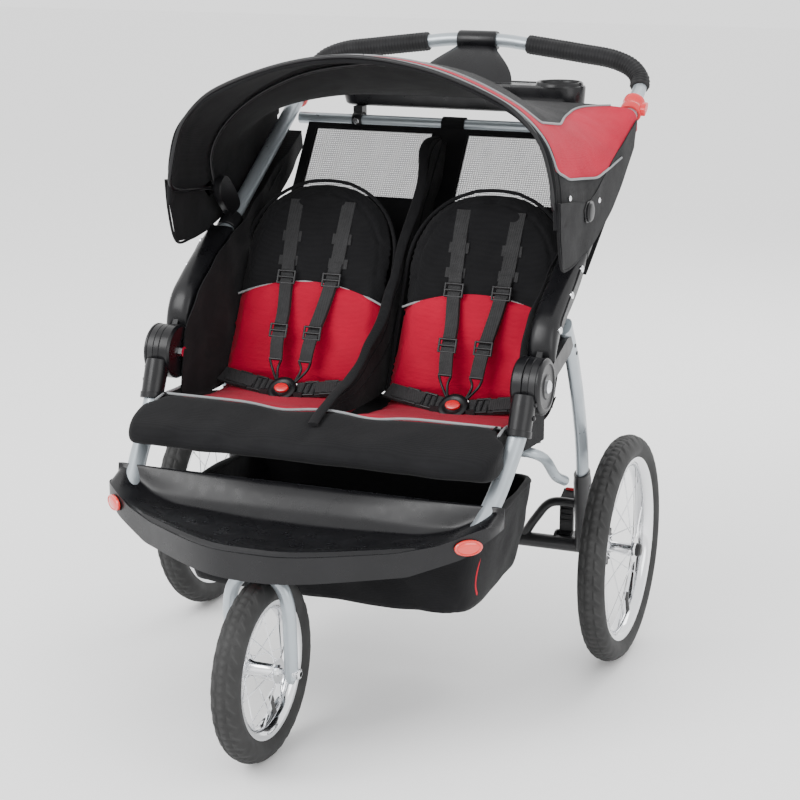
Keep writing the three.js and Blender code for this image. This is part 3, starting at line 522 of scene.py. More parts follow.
# ------------------------------------------------------------------ wheels
TYRE_HALF_WIDTH = 23.3
TYRE_SIDE = [(-15.3, 41.0), (-22.6, 27), (-TYRE_HALF_WIDTH, 18), (-17.5, 6.5)]
TYRE_SECTION = curve(TYRE_SIDE + [(0, 0)] + [(-x, depth) for x, depth in reversed(TYRE_SIDE)], 33)
TYRE_HEIGHT, BEAD_HEIGHT = 41.3, 37  # from the tread down to the rim's seat and to the tyre's inner face
BLOCK_LENGTH, BLOCK_STEPS = 4.4, 8
REAR_RADIUS, FRONT_RADIUS = 200, 148.5
SPOKES, SPOKE_LEAN = 20, 0.62
DISC_AT, DISC_WIDTH = 29, 5  # the toothed brake disc, inward from the wheel's middle


def tread(x, turn):
    """Height of the tread at a place across the tyre and a number of blocks round it."""
    row = abs(x) / TYRE_HALF_WIDTH
    part = (turn + 0.18 * math.sin(x / 3.2)) % 1.0
    if row < 0.22:
        return 0.0 if (turn * 2) % 1.0 > 0.14 else -1.6
    if row < 0.32:
        return -2.0
    if row < 0.62:
        return 0.0 if 0.16 < part < 0.92 else -2.2
    if row < 0.72:
        return -1.6 if part < 0.5 else -0.2
    if row < 0.95:
        return 0.0 if 0.25 < (part + 0.5) % 1.0 < 0.8 else -1.2
    return -0.3


def make_tyre(name, centre, radius, body, node):
    steps = round(radius / BLOCK_LENGTH) * BLOCK_STEPS
    bead = radius - BEAD_HEIGHT
    rows = []
    for i in range(steps):
        angle = 2 * math.pi * i / steps
        radii = []
        for x, depth in TYRE_SECTION:
            block = tread(x, i / BLOCK_STEPS) if depth < 22 else 0.0
            radii.append((x, radius - depth + block))
        rows.append([
            (centre[0] + x, centre[1] + r * math.sin(angle), centre[2] - r * math.cos(angle))
            for x, r in radii + [(0, bead)]
        ])
    shape = Shape().grid(rows + rows[:1], around=True)
    put(build(shape, name, [RUBBER], smooth=35), body, "tyre_rubber", node)


def spoke_ends(i, hub_half, flange_radius, rim_radius):
    """The hub end and the rim end of a spoke; neighbours lean opposite ways in pairs."""
    angle = 2 * math.pi * i / SPOKES
    side = 1 if i % 2 else -1
    lean = SPOKE_LEAN if i % 4 < 2 else -SPOKE_LEAN
    root = angle + lean
    start = (side * (hub_half - 2), flange_radius * math.cos(root), flange_radius * math.sin(root))
    return np.array(start), np.array((side * 2.0, rim_radius * math.cos(angle), rim_radius * math.sin(angle)))


def make_wheel(name, centre, radius, body, node, outward, hub_half, flange_radius):
    centre = np.asarray(centre, float)
    seat = radius - TYRE_HEIGHT
    shape = Shape()
    rim = [(-15, seat), (-16.5, seat + 3.5), (-17.4, seat + 3.2), (-17, seat - 2)]
    rim += [(-13.5, seat - 8.5), (-8, seat - 12.6)]
    rim += [(0, seat - 13.6)] + [(-x, r) for x, r in reversed(rim)] + [(8, seat - 3), (-8, seat - 3)]
    shape.lathe(rim, centre, X, 128, closed=True)
    hub = [(-hub_half - 4, 6.8), (-hub_half - 4, 9), (-hub_half, 10), (-hub_half, flange_radius)]
    hub += [(-hub_half + 2.5, flange_radius), (-hub_half + 5, 12), (-hub_half + 12, 9.5)]
    hub += [(-x, r) for x, r in reversed(hub)]
    shape.lathe(hub, centre, X, 40)
    for i in range(SPOKES):
        start, end = spoke_ends(i, hub_half, flange_radius - 3, seat - 11)
        shape.tube(np.linspace(centre + start, centre + end, 2), 1.1, 8)
        nipple = end + (start - end) * 0.11
        shape.tube(np.linspace(centre + nipple, centre + end, 2), 2.0, 8, 1)
    valve = np.array([(3, 0.38 * r, -0.925 * r) for r in (seat - 12, seat - 38)])
    shape.tube(centre + valve, [3.6, 3.0], 12, 2)
    shape.tube(centre + np.array([valve[1], valve[1] * (1, 0.88, 0.88)]), 4.2, 12, 2)
    if outward:
        cap = [(3, 5.5), (3, 12), (9, 11.5), (12, 8), (12.5, 0.6)]
        shape.lathe([(outward * (hub_half + x), r) for x, r in cap], centre, X, 32, 3)
        disc = []
        for i, t in enumerate(turns(96)):
            r = 38 if (i // 3) % 2 else 33
            disc.append((centre[1] + r * math.cos(t), centre[2] + r * math.sin(t)))
        inner = centre[0] - outward * DISC_AT
        shape.prism(disc, *sorted((inner, inner + outward * DISC_WIDTH)), 3)
    piece = build(shape, name, [CHROME, ALLOY, RUBBER, PLASTIC], smooth=35)
    put(piece, body, "chrome", node)


REAR_X = 400
STEER_Y = -432
FRONT = (0, STEER_Y + 8, FRONT_RADIUS)
for side, s in SIDES:
    place = (s * REAR_X, *REAR_AXIS[1:])
    body = f"rear_wheel_body_{side}"
    make_tyre(f"rear_tyre_tread_{side}", place, REAR_RADIUS, body, f"rear_tyre_{side}")
    make_wheel(f"rear_wheel_laced_{side}", place, REAR_RADIUS, body, f"rear_wheel_{side}", s, 27, 23)
make_tyre("front_tyre_tread", FRONT, FRONT_RADIUS, "front_wheel_body", "front_tyre")
make_wheel("front_wheel_laced", FRONT, FRONT_RADIUS, "front_wheel_body", "front_wheel", 0, 28, 20)


# ------------------------------------------------------------------ fork
BLADE_X = 50


def make_fork():
    right = [(BLADE_X, FRONT[1], 140), (BLADE_X, -427, 200)]
    for a in np.radians([0, 30, 55, 75]):
        right.append((BLADE_X * math.cos(a), STEER_Y, 252 + 60 * math.sin(a)))
    left = [(-x, y, z) for x, y, z in reversed(right)]
    path = curve(right + left, 90)
    shape = Shape().tube(path, 11, 24, hint=Y)
    for s in (1, -1):
        drop = [(FRONT[1] + 13 * math.cos(t), 146 + 16 * math.sin(t)) for t in turns(24)]
        shape.prism(drop, *sorted((s * 47, s * 53)))
    shape.lathe([(305, 13), (316, 13), (320, 9), (346, 9)], (0, STEER_Y, 0), Z, 28)
    put(build(shape, "fork_arch", [SILVER]), "front_fork", "silver_paint", "fork")


def make_front_axle():
    shape = Shape()
    shape.lathe([(-66, 5), (66, 5)], FRONT, X, 20)
    for s in (1, -1):
        shape.lathe([(s * 54, 11), (s * 57, 11), (s * 57, 9), (s * 64, 9), (s * 66, 6)], FRONT, X, 6)
    put(build(shape, "front_axle_nuts", [CHROME], bevel=0.6, smooth=30), "front_fork", "chrome", "front_axle")


def make_fork_housing():
    shape = Shape()
    profile = [(325, 21), (326, 25), (333, 27), (341, 27), (345, 24), (346, 12)]
    shape.lathe(profile, (0, STEER_Y, 0), Z, 40)
    put(build(shape, "fork_socket", [PLASTIC]), "front_frame", "black_plastic", "fork_housing")
    knob = Shape()
    profile = [(303, 5.5), (304, 8), (310, 8.4), (311, 6.2), (314, 6.2), (315, 8), (320, 7.6), (321, 5)]
    knob.lathe(profile, (0, STEER_Y - 19.6, 0), Z, 28)
    piece = build(knob, "swivel_knob", [RED_PLASTIC], smooth=30)
    put(piece, "swivel_lock", "red_plastic", "swivel_lock_knob")


make_fork()
make_front_axle()
make_fork_housing()

# ------------------------------------------------------------------ frame tubes
FRONT_TUBE = [
    (327, -139, 540), (327, -146, 520), (325, -156, 494), (320, -190, 450), (313, -238, 402),
    (300, -285, 362), (262, -332, 338), (190, -375, 333), (110, -410, 333), (30, -432, 333),
]
SLOPE = 0.645
HANDLE_JOINT = 484
SIDE_X, LEG_X = 327, 335
FRONT_TUBE_RADIUS, SIDE_RADIUS, BAR_RADIUS, LEG_RADIUS, LINK_RADIUS = 15, 14, 12.5, 19, 9


def tube_z(y):
    """Height of a side tube's centre line."""
    return 602 + SLOPE * (y + 60)


BAR_HALF = [
    (SIDE_X, 485, tube_z(485)), (326, 512, 969), (321, 528, 984), (304, 538, 1001), (268, 545.5, 1015),
    (205, 550, 1024), (148, 553, 1031), (98, 554.5, 1037), (50, 555.5, 1042),
]
BAR_PATH = BAR_HALF + [(-x, y, z) for x, y, z in reversed(BAR_HALF)]
LEG_SIDE = [(52, 622), (90, 566), (128, 490), (162, 397), (178, 300), (186, 250)]


def make_tubes():
    for side, s in SIDES:
        shape = Shape().tube(curve(FRONT_TUBE, 70), FRONT_TUBE_RADIUS, 28)
        piece = build(shape, f"front_tube_bent_{side}", [SILVER], s)
        put(piece, "front_frame", "silver_paint", f"front_tube_{side}")
        ends = [(SIDE_X, y, tube_z(y)) for y in (20, HANDLE_JOINT)]
        piece = build(Shape().tube(ends, SIDE_RADIUS, 32), f"side_tube_round_{side}", [SILVER], s)
        put(piece, "handle_frame", "silver_paint", f"side_tube_{side}")
        path = curve([(LEG_X, y, z) for y, z in LEG_SIDE], 60)
        shape = Shape().tube(path, LEG_RADIUS, 28, hint=X, squash=(0.53, 1))
        shape.lathe([(334.2, 45.2), (344.4, 45.2)], HINGE, X, 64, 1)
        strap = [(-82, 566), (36, 606), (58, 606), (70, 588), (54, 576), (-82, 537)]
        shape.prism(strap, 334.2, 344.4, 1)
        for z, y in ((585, 78), (570, 88)):
            shape.lathe([(344.5, 3.5), (346, 3.5), (346.4, 2)], (0, y, z), X, 14, 1)
        piece = build(shape, f"rear_leg_oval_{side}", [SILVER, PLASTIC], s)
        put(piece, "rear_frame", "silver_paint", f"rear_leg_{side}")
    bar = build(Shape().tube(curve(BAR_PATH, 150), BAR_RADIUS, 28), "handlebar_bent", [SILVER])
    put(bar, "handle_frame", "silver_paint", "handlebar")
    half = [(316, 130, 332), (309, 100, 348), (300, 62, 388), (284, 42, 402), (255, 40, 403)]
    link = half + [(-x, y, z) for x, y, z in reversed(half)]
    piece = build(Shape().tube(curve(link, 90), LINK_RADIUS, 20), "link_bar_bent", [SILVER])
    put(piece, "rear_frame", "silver_paint", "leg_link_bar")


GRIP_RADIUS = 17.0


def make_grip(side, s):
    path = curve(BAR_HALF[1:-1], 150)
    rows = []
    ridge, pitch, twist = 1.4, 0.9, 4  # the knurls' height, and how fast they turn along and round the grip
    for i, (p, (a, b)) in enumerate(zip(path, frames(path, Z))):
        row = []
        end = min(i, len(path) - 1 - i)
        for t in turns(40):
            wave = math.sin(i * pitch + twist * t) * math.sin(i * pitch - twist * t)
            r = GRIP_RADIUS + ridge * wave - (2.2 if end == 0 else 0.6 if end == 1 else 0.0)
            row.append(p + r * (a * math.cos(t) + b * math.sin(t)))
        rows.append(row)
    shape = Shape().grid(rows, around=True, ends=True)
    piece = build(shape, f"grip_padded_{side}", [FOAM], s, smooth=60)
    put(piece, "handle_frame", "grip_foam", f"grip_{side}")


make_tubes()
for side, s in SIDES:
    make_grip(side, s)


# ------------------------------------------------------------------ hinges, collars and brackets
def rounded(outline, count):
    """A closed smooth outline through (y, z) points."""
    points = list(outline) + [outline[0]]
    return curve(points, count)[:-1]


def make_hinge(side, s):
    shape = Shape()
    shape.lathe([(303, 34), (303, 42), (307, 46), (322, 46), (322, 8)], HINGE, X, 64)
    cover = [(345, 8), (345, 46), (349, 46), (352, 42), (352.6, 37), (350.5, 35), (350.5, 21)]
    cover += [(352.5, 19), (352.5, 12)]
    shape.lathe(cover, HINGE, X, 64)
    shape.tube([(327, -134, 549), (326.6, -141, 530), (326, -158, 492)], [18.5, 20, 19], 32)
    shape.tube([(326.2, -156, 497), (326, -159.5, 487)], [20.5, 20.5], 32)
    for y, z in ((-138, 536), (-146, 516)):
        shape.lathe([(345, 4.2), (348, 4.2), (349, 2.5)], (0, y, z), X, 16)
    piece = build(shape, f"hinge_housing_{side}", [GLOSS], s, bevel=0.8)
    put(piece, "front_frame", "black_plastic", f"hinge_casting_{side}")
    bolt = Shape()
    profile = [(297, 9), (303, 9.5), (303, 6), (352, 6), (352.3, 11), (355, 11)]
    profile += [(357.5, 8), (358, 4), (356, 3.4), (356, 0.4)]
    bolt.lathe(profile, HINGE, X, 32)
    put(build(bolt, f"fold_bolt_domed_{side}", [CHROME], s), "front_frame", "chrome", f"fold_bolt_{side}")
    arm = Shape()
    spine = [(-53, 588, 10), (-46, 608, 17), (-30, 633, 21), (0, 655, 22)]
    spine += [(50, 687, 21), (96, 714, 19), (116, 734, 9)]
    path = curve(spine, 40)
    centres = np.column_stack([np.full(len(path), 327.5), path[:, :2]])
    rings = []
    for p, half, (a, b) in zip(centres, path[:, 2], frames(centres, X)):
        ring = []
        for t in turns(36):
            c, d = math.cos(t), math.sin(t)
            across, along = 23.5 * math.copysign(abs(c) ** 0.7, c), half * math.copysign(abs(d) ** 0.8, d)
            ring.append(p + a * across + b * along)
        rings.append(ring)
    arm.grid(rings, around=True, ends=True)
    rib = [(-30, 628), (-26, 644), (0, 664), (50, 696), (84, 716), (92, 708), (60, 680), (0, 646)]
    arm.prism(rounded(rib, 44), 347, 352.5)
    arm.lathe([(322.8, 45.2), (333.8, 45.2)], HINGE, X, 64)
    arm.prism([(-76, 588), (-58, 610), (-38, 596), (-60, 545)], 322.6, 333.6)
    for y, z in ((-30, 634), (30, 680), (84, 714)):
        arm.lathe([(349, 6), (353.4, 6), (354, 4.5)], (0, y, z), X, 18, 1)
    piece = build(arm, f"hinge_arm_moulded_{side}", [GLOSS, CHROME], s, bevel=1.2)
    put(piece, "handle_frame", "black_plastic", f"hinge_arm_{side}")


def make_collar(side, s):
    start = np.array((SIDE_X, 446, tube_z(446)))
    along = unit((0, 1, SLOPE))
    shape = Shape()
    profile = [(0, 14.4), (0, 19), (2, 20), (13, 20), (15, 18.6), (24, 18.6), (27, 20)]
    profile += [(36, 19.6), (38, 18), (38, 14.4)]
    shape.lathe(profile, start, along, 40, closed=True)
    z = tube_z(454)
    trigger = [(449, z - 8), (468, z + 4), (470, z + 14), (456, z + 13), (448, z + 4)]
    shape.prism(rounded(trigger, 24), 340, 354)
    piece = build(shape, f"release_collar_{side}", [RED_PLASTIC], s, bevel=0.8)
    put(piece, f"latch_body_{side}", "red_plastic", f"fold_latch_{side}")


def make_canopy_mount(side, s):
    along = unit((0, 1, SLOPE))
    foot = np.array((SIDE_X, 136, tube_z(136)))
    shape = Shape()
    shape.lathe([(0, 15), (0, 18.5), (2, 19.5), (32, 19.5), (34, 18), (34, 15)], foot, along, 36, closed=True)
    shape.prism(rounded([(138, 752), (172, 768), (130, 822), (112, 828), (94, 815), (96, 795)], 36), 316, 330)
    shape.lathe([(328, 4), (346, 4)], CANOPY_PIVOT, X, 20)
    piece = build(shape, f"canopy_bracket_{side}", [PLASTIC], s, bevel=1.2)
    put(piece, "handle_frame", "black_plastic", f"canopy_mount_{side}")


for side, s in SIDES:
    make_hinge(side, s)
    make_collar(side, s)
    make_canopy_mount(side, s)


# ------------------------------------------------------------------ rear axle and brakes
def make_axle():
    shape = Shape()
    shape.lathe([(-340, 13), (340, 13)], (0, 195, 195), X, 28)
    for s in (1, -1):
        shape.lathe([(s * 330, 6), (s * 424, 6)], REAR_AXIS, X, 20)
        socket = [(s * LEG_X, y, z) for y, z in ((170, 338), (178, 300), (186, 250), (194, 196))]
        shape.tube(curve(socket, 20), [22.0] * 2 + [23.5] * 18, 28, hint=X, squash=(0.62, 1))
        brace = [(s * 222, 195, 200), (s * 246, 190, 238), (s * 276, 184, 272), (s * 332, 182, 276)]
        shape.tube(curve(brace, 30), 8, 16)
        for x in (278, 308):
            lug = rounded([(195, 190), (222, 190), (224, 206), (214, 214), (195, 212)], 24)
            shape.prism(lug, *sorted((s * x, s * (x + 4))))
        shape.lathe([(s * 280, 3.5), (s * 310, 3.5)], BRAKE_PIN, X, 16)
        for z in (310, 232):
            head = [(s * 345, 5.5), (s * 352.5, 5.5), (s * 354, 3.5)]
            shape.lathe(head, (0, 176 + (310 - z) * 0.18, z), X, 6, 1)
    piece = build(shape, "axle_beam_welded", [STEEL, ALLOY], bevel=0.8)
    put(piece, "rear_frame", "black_steel", "axle_beam")


def make_brake(side, s):
    shape = Shape()
    shape.lathe([(282.5, 7.4), (307.5, 7.4)], BRAKE_PIN, X, 28)
    lever = [(213, 206), (222, 206), (223, 262), (228, 270), (241, 276), (239, 284), (214, 272)]
    shape.prism(lever, 282.5, 307.5)
    for z in (230, 240, 250):
        shape.box((284, 211.5, z), (306, 214.5, z + 4))
    shape.box((287, 234, 273), (303, 239, 286), 1)
    piece = build(shape, f"brake_pedal_{side}", [PLASTIC, RED_PLASTIC], s, bevel=1.0)
    put(piece, f"brake_body_{side}", "red_plastic", f"brake_lever_{side}")


make_axle()
for side, s in SIDES:
    make_brake(side, s)


# ------------------------------------------------------------------ foot tray
TRAY_HALF, TRAY_FLOOR, TRAY_REAR, TRAY_WALL = 338, 353, -258, 4
BOSS_STEP, BOSS_HEIGHT = 70, 2.2
TRAY_EDGE = curve(
    [(0, -477), (50, -474), (100, -456), (225, -382), (300, -334), (330, -306), (337, -280)], 60
)


def tray_front(x):
    """The tray's front edge at a place across it."""
    return float(np.interp(abs(x), TRAY_EDGE[:, 0], TRAY_EDGE[:, 1]))


def smooth_steps(pairs):
    """A smoothed table: a function of one number through (position, value) pairs."""
    line = np.array(pairs, float)
    fine = np.linspace(line[0, 0], line[-1, 0], 400)
    value = np.interp(fine, line[:, 0], line[:, 1])
    kernel = np.hanning(27)
    padded = np.pad(value, 13, mode="edge")
    smoothed = np.convolve(padded, kernel / kernel.sum(), mode="valid")
    smoothed[0], smoothed[-1] = value[0], value[-1]
    return lambda t: float(np.interp(t, fine, smoothed))


# Heights over the floor from rear to front and from the middle to the side, and of the skirt's lower edge.
REAR_WALL = smooth_steps(
    [(0, 50), (0.03, 50), (0.1, 37), (0.2, 15), (0.3, 1), (0.78, 0), (0.88, 7), (0.95, 6), (1, -8)]
)
SIDE_WALL = smooth_steps([(0, 0), (0.62, 0), (0.78, 12), (0.86, 27), (0.93, 41), (0.975, 47), (1, 38)])
SKIRT_X = smooth_steps([(0, 309), (225, 314), (300, 338), (TRAY_HALF, 368)])
SKIRT_Y = smooth_steps([(0, 384), (0.1, 352), (0.4, 330), (0.7, 309), (1, 309)])


def tray_top(x, depth):
    """Height of the tray at a place across it and a share of its depth, with a row of low bosses."""
    side = SIDE_WALL(abs(x) / TRAY_HALF) * (1 - 0.35 * depth)
    rear = REAR_WALL(depth)
    joined = math.log(math.exp(rear / 4) + math.exp(side / 4)) * 4 - 2.8
    rise = max(rear, side) if depth > 0.93 else joined if max(rear, side) > 0 else rear
    for centre in range(-3 * BOSS_STEP, 3 * BOSS_STEP + 1, BOSS_STEP):
        reach = ((x - centre) / 24) ** 2 + ((depth - 0.55) / 0.13) ** 2
        if reach < 1:
            rise += BOSS_HEIGHT * (1 - reach) ** 0.5
    return TRAY_FLOOR + rise


def make_tray():
    ends = np.linspace(318, TRAY_HALF, 7)
    xs = np.concatenate([-ends[::-1], np.linspace(-312, 312, 105), ends])
    depths = np.concatenate([[0, 0.01, 0.025], np.linspace(0.04, 0.96, 56), [0.975, 0.99, 1.0]])
    top = []
    for d in depths:
        row = []
        for x in xs:
            y = TRAY_REAR + (tray_front(x) - TRAY_REAR) * d
            row.append((x, y, tray_top(x, d)))
        top.append(row)
    shape = Shape().grid(top)
    under = [[(x * 0.985, y, z - TRAY_WALL) for x, y, z in row] for row in top]
    shape.grid(under)

    def skirt(edge, inner_edge):
        lip = []
        for x, y, z in edge:
            d = (y - TRAY_REAR) / (tray_front(x) - TRAY_REAR)
            low = max(SKIRT_X(abs(x)), SKIRT_Y(min(1, max(0, d))))
            lip.append((x, y, min(low, z - 5)))
        middle = [(np.asarray(a) + b) / 2 for a, b in zip(edge, lip)]
        inner = [(x * 0.985, y + (3 if y < -300 else 0), z) for x, y, z in lip]
        shape.grid([edge, middle, lip, inner, inner_edge])

    skirt(top[-1], under[-1])
    skirt(top[0], under[0])
    for j in (0, -1):
        skirt([row[j] for row in top], [row[j] for row in under])
    piece = build(shape, "foot_tray_moulded", [GLOSS], smooth=50, weld=0.05)
    put(piece, "front_frame", "black_plastic", "foot_tray")


def make_reflector(side, s):
    turn = math.radians(38)
    along = (math.cos(turn), math.sin(turn), 0)
    out = (math.sin(turn), -math.cos(turn), 0.05)
    profile = [(1.02, -2), (1.02, 1.0), (0.97, 2.2), (0.86, 2.4)]
    profile += [(0.82, 1.4), (0.7, 2.6), (0.4, 3.4), (0.02, 3.6)]
    shape = Shape().dome((306.6, -333.4, 356), np.array(along) * 22, Z * 12.5, out, profile)
    piece = build(shape, f"reflector_oval_{side}", [LENS], s, smooth=30)
    put(piece, "front_frame", "red_plastic", f"tray_reflector_{side}")


make_tray()
for side, s in SIDES:
    make_reflector(side, s)


# ------------------------------------------------------------------ parent tray
def cut(piece, shapes, name):
    """Cuts closed shapes out of a piece."""
    for i, shape in enumerate(shapes):
        tool = build(shape, f"{name}_{i}", [GLOSS])
        change = piece.modifiers.new("cut", "BOOLEAN")
        change.operation = "DIFFERENCE"
        change.solver = "EXACT"
        change.object = tool
        settle(piece)
        bpy.data.objects.remove(tool)


CUP_X = 188
NECK_HALF, NECK_WAIST = 95, 57  # half the neck's width where it leaves the tray, and how much it narrows


def make_console():
    front, bottom, top, straight, corner = 428, 924, 974, 196, 40
    middle = front + corner
    outline = []
    for s, start in ((1, -90), (-1, 90)):
        for a in np.radians(np.linspace(start, start + 180, 17)):
            outline.append((s * straight + corner * math.cos(a), middle + corner * math.sin(a)))
    rings = []
    profile = [(bottom, -9), (bottom + 3, -5), (bottom + 14, -2)]
    for z, grow in profile + [(top - 5, 0), (top - 1.5, -1.2), (top, -4)]:
        ring = []
        for x, y in outline:
            away = unit((x - np.clip(x, -straight, straight), y - middle))
            ring.append((x + away[0] * grow, y + away[1] * grow, z))
        rings.append(ring)
    shape = Shape().grid(rings, around=True, ends=True)
    body = build(shape, "parent_tray_moulded", [GLOSS], smooth=30)
    cups = [(s * CUP_X, middle, 0) for s in (1, -1)]
    wells = [Shape().lathe([(929, 31), (1000, 36.5)], cup, Z, 56) for cup in cups]
    cut(body, [*wells, Shape().box((-85, 440, 942), (85, 462, 1000))], "tray_cut")
    put(body, "handle_frame", "black_plastic", "parent_console")
    extra = Shape()
    lip = [(972, 36.2), (976.5, 36.4), (979, 38), (979.4, 40.5), (977, 43), (971, 43.6)]
    for cup in cups:
        extra.lathe(lip, cup, Z, 64, closed=True)
    rows = []
    for v in np.linspace(0, 1, 26):
        swell = math.sin(v * math.pi)
        half = NECK_HALF - NECK_WAIST * (v * v * (3 - 2 * v)) + 4 * swell
        rise = 968 + 70 * v + 8 * swell
        rows.append([(half * u, 462 + 88 * v, rise - 4 * abs(u) ** 6) for u in np.linspace(-1, 1, 15)])
    extra.sheet(rows, 13)
    sleeve = [(-38, 14), (-38, 17), (-35, 18), (35, 18), (38, 17), (38, 14)]
    extra.lathe(sleeve, (0, 555.5, 1041.6), X, 36)
    neck = build(extra, "parent_tray_neck", [GLOSS], smooth=50)
    put(neck, "handle_frame", "black_plastic")


def make_clamp(side, s):
    shape = Shape()
    ring = [(182, 12), (182, 16.5), (184, 17.5), (198, 17.5), (200, 16.5), (200, 12)]
    shape.lathe(ring, CROSS_BAR, X, 32, closed=True)
    shape.box((182, 421, 905), (200, 444, 924))
    shape.lathe([(409.5, 6), (410.5, 6.5), (413, 5)], (191, 0, 897), Y, 20, 1)
    piece = build(shape, f"tray_clamp_{side}", [PLASTIC, CHROME], s, bevel=1.0)
    put(piece, "handle_frame", "black_plastic", f"console_clamp_{side}")


def make_cross_bar():
    ends = [(x, *CROSS_BAR[1:]) for x in (-312, 312)]
    piece = build(Shape().tube(ends, 11, 32), "cross_bar_round", [SILVER])
    put(piece, "handle_frame", "silver_paint", "cross_bar")
    shape = Shape().lathe([(-22, 12), (-22, 14.2), (22, 14.2), (22, 12)], CROSS_BAR, X, 32, closed=True)
    shape.box((-22, 420, 872), (22, 424, 886))
    put(build(shape, "bar_loop", [BLACK_CLOTH]), "handle_frame", "black_fabric")


make_console()
make_cross_bar()
for side, s in SIDES:
    make_clamp(side, s)

# ------------------------------------------------------------------ canopy
FRONT_ARCH = [(352, 800), (350, 838), (345, 880), (326, 940), (287, 985), (245, 1010), (129, 1054), (0, 1069)]
MID_ARCH = [(352, 800), (351, 818), (343, 870), (321, 918), (262, 972), (164, 1023), (60, 1043), (0, 1045)]
REAR_ARCH = [(350.5, 905), (349, 928), (340, 940), (300, 946), (200, 949), (130, 950), (60, 951), (0, 951)]
ARCH_POINTS = 145
Y_FRONT, Y_MID = -45, 95
CANOPY_Y = (Y_FRONT, Y_MID, 412)
ROLL = 15  # how far the front edge of the canopy curls down
RIM_WIDTH = 13  # black band at the front edge
CANOPY_THICKNESS = 1.6


def full_arch(half):
    return curve([(-x, z) for x, z in half] + half[-2::-1], ARCH_POINTS)


ARCHES = [full_arch(half) for half in (FRONT_ARCH, MID_ARCH, REAR_ARCH)]


def canopy_rows(start, end, count):
    """Rows across the canopy between two places along it: 0 front, 1 middle bow, 2 rear edge."""
    rows = []
    for t in np.linspace(start, end, count):
        y = np.interp(t, range(3), CANOPY_Y)
        sag = (5.0 if t < 1 else 11.0) * math.sin(math.pi * (t % 1.0))
        roll = ROLL * max(0.0, 1 - t / 0.32) ** 2
        row = []
        for places in zip(*ARCHES):
            x, z = (np.interp(t, range(3), values) for values in zip(*places))
            arch = min(1.0, max(0.0, (z - 850) / 120))
            inward = math.copysign(roll * 0.5 * (1 - arch), x) if abs(x) > 200 else 0.0
            row.append((x - inward, y, z - (sag + roll) * arch))
        rows.append(row)
    return rows


# Heights of the red area's edges at places along the canopy.
UPPER_EDGE = [(-60, 968), (0, 962), (87, 950), (152, 941), (296, 942), (412, 946)]
LOWER_EDGE = [(-60, 905), (-52, 897), (20, 870), (167, 853), (300, 868), (412, 880)]


def red_distance(points):
    """How far inside the red area a point of the canopy is, in millimetres; negative outside."""
    x, y, z = np.abs(points[:, 0]), points[:, 1], points[:, 2]
    upper = np.interp(y, *np.array(UPPER_EDGE, float).T)
    lower = np.interp(y, *np.array(LOWER_EDGE, float).T)
    on_side = np.minimum(upper - z, z - lower)
    behind_rim = y - (Y_FRONT + RIM_WIDTH)
    band = 27 + 30 * np.clip(x / 300, 0, 1) ** 2 - behind_rim
    on_top = np.where(z > 925, band, -5.0)
    return np.minimum(np.maximum(on_side, on_top), behind_rim)


def red_outline(rows):
    """Lines on the right half of the canopy along the edges of the red area."""
    grid = np.asarray(rows, float)[:, ARCH_POINTS // 2:]
    value = red_distance(grid.reshape(-1, 3)).reshape(grid.shape[:2])
    found = []
    for a, b, u, v in (
        (grid[:-1], grid[1:], value[:-1], value[1:]),
        (grid[:, :-1], grid[:, 1:], value[:, :-1], value[:, 1:]),
    ):
        cross = (u > 0) != (v > 0)
        share = (u[cross] / (u[cross] - v[cross]))[:, None]
        found.extend(a[cross] + (b[cross] - a[cross]) * share)
    lines = []
    while found:
        start = min(range(len(found)), key=lambda k: abs(found[k][0]) + found[k][1])
        line = [found.pop(start)]
        while found:
            gaps = np.linalg.norm(np.array(found) - line[-1], axis=1)
            if gaps.min() > 25:
                break
            line.append(found.pop(int(gaps.argmin())))
        if len(line) > 12:
            padded = np.pad(np.array(line), ((3, 3), (0, 0)), mode="edge")
            smooth = np.mean([padded[k:k + len(line)] for k in range(7)], axis=0)
            lines.append(curve(np.vstack([line[:1], smooth[3:-3:4], line[-1:]]), 90))
    return lines


def make_canopy_panel(name, start, columns, trim, node, bodies, bend):
    """One of the canopy's two sheets, with its own extra trim and piping along the red area."""
    rows = canopy_rows(start, start + 1, columns)
    shape = Shape().sheet(rows, CANOPY_THICKNESS, (0, 1))
    for t, radius, sides, lift in trim:
        seam = np.array(canopy_rows(t, t, 1)[0]) + lift
        shape.tube(seam, radius, sides, 1, hint=Y)
    for line in red_outline(rows):
        for sign in (1, -1):
            shape.tube(line * (sign, 1, 1) + (sign * 1.0, 0, 0.8), 2.1, 10, 2)
    piece = build(shape, name, [CANOPY_CLOTH, BLACK_CLOTH, PIPING], smooth=60)
    store(piece, red_distance(points_of(piece)))
    blend_piece(piece, "black_fabric", node, bodies, *((0, y, 0.95) for y in bend))
    canopy_rows(start, start + 1, 9)


def make_canopy():
    trim = [(0.0, 4.0, 12, (0, 2, -1))] + [(t, 1.0, 6, (0, 0, 0.4)) for t in (0.06, 0.14)]
    bodies = ("canopy_mid", "canopy_front")
    make_canopy_panel("canopy_front_cloth", 0, 41, trim, "canopy_front_panel", bodies, (0.080, -0.030))
    bodies = ("handle_frame", "canopy_mid")
    make_canopy_panel("canopy_rear_cloth", 1, 61, [], "canopy_rear_panel", bodies, (0.385, 0.110))


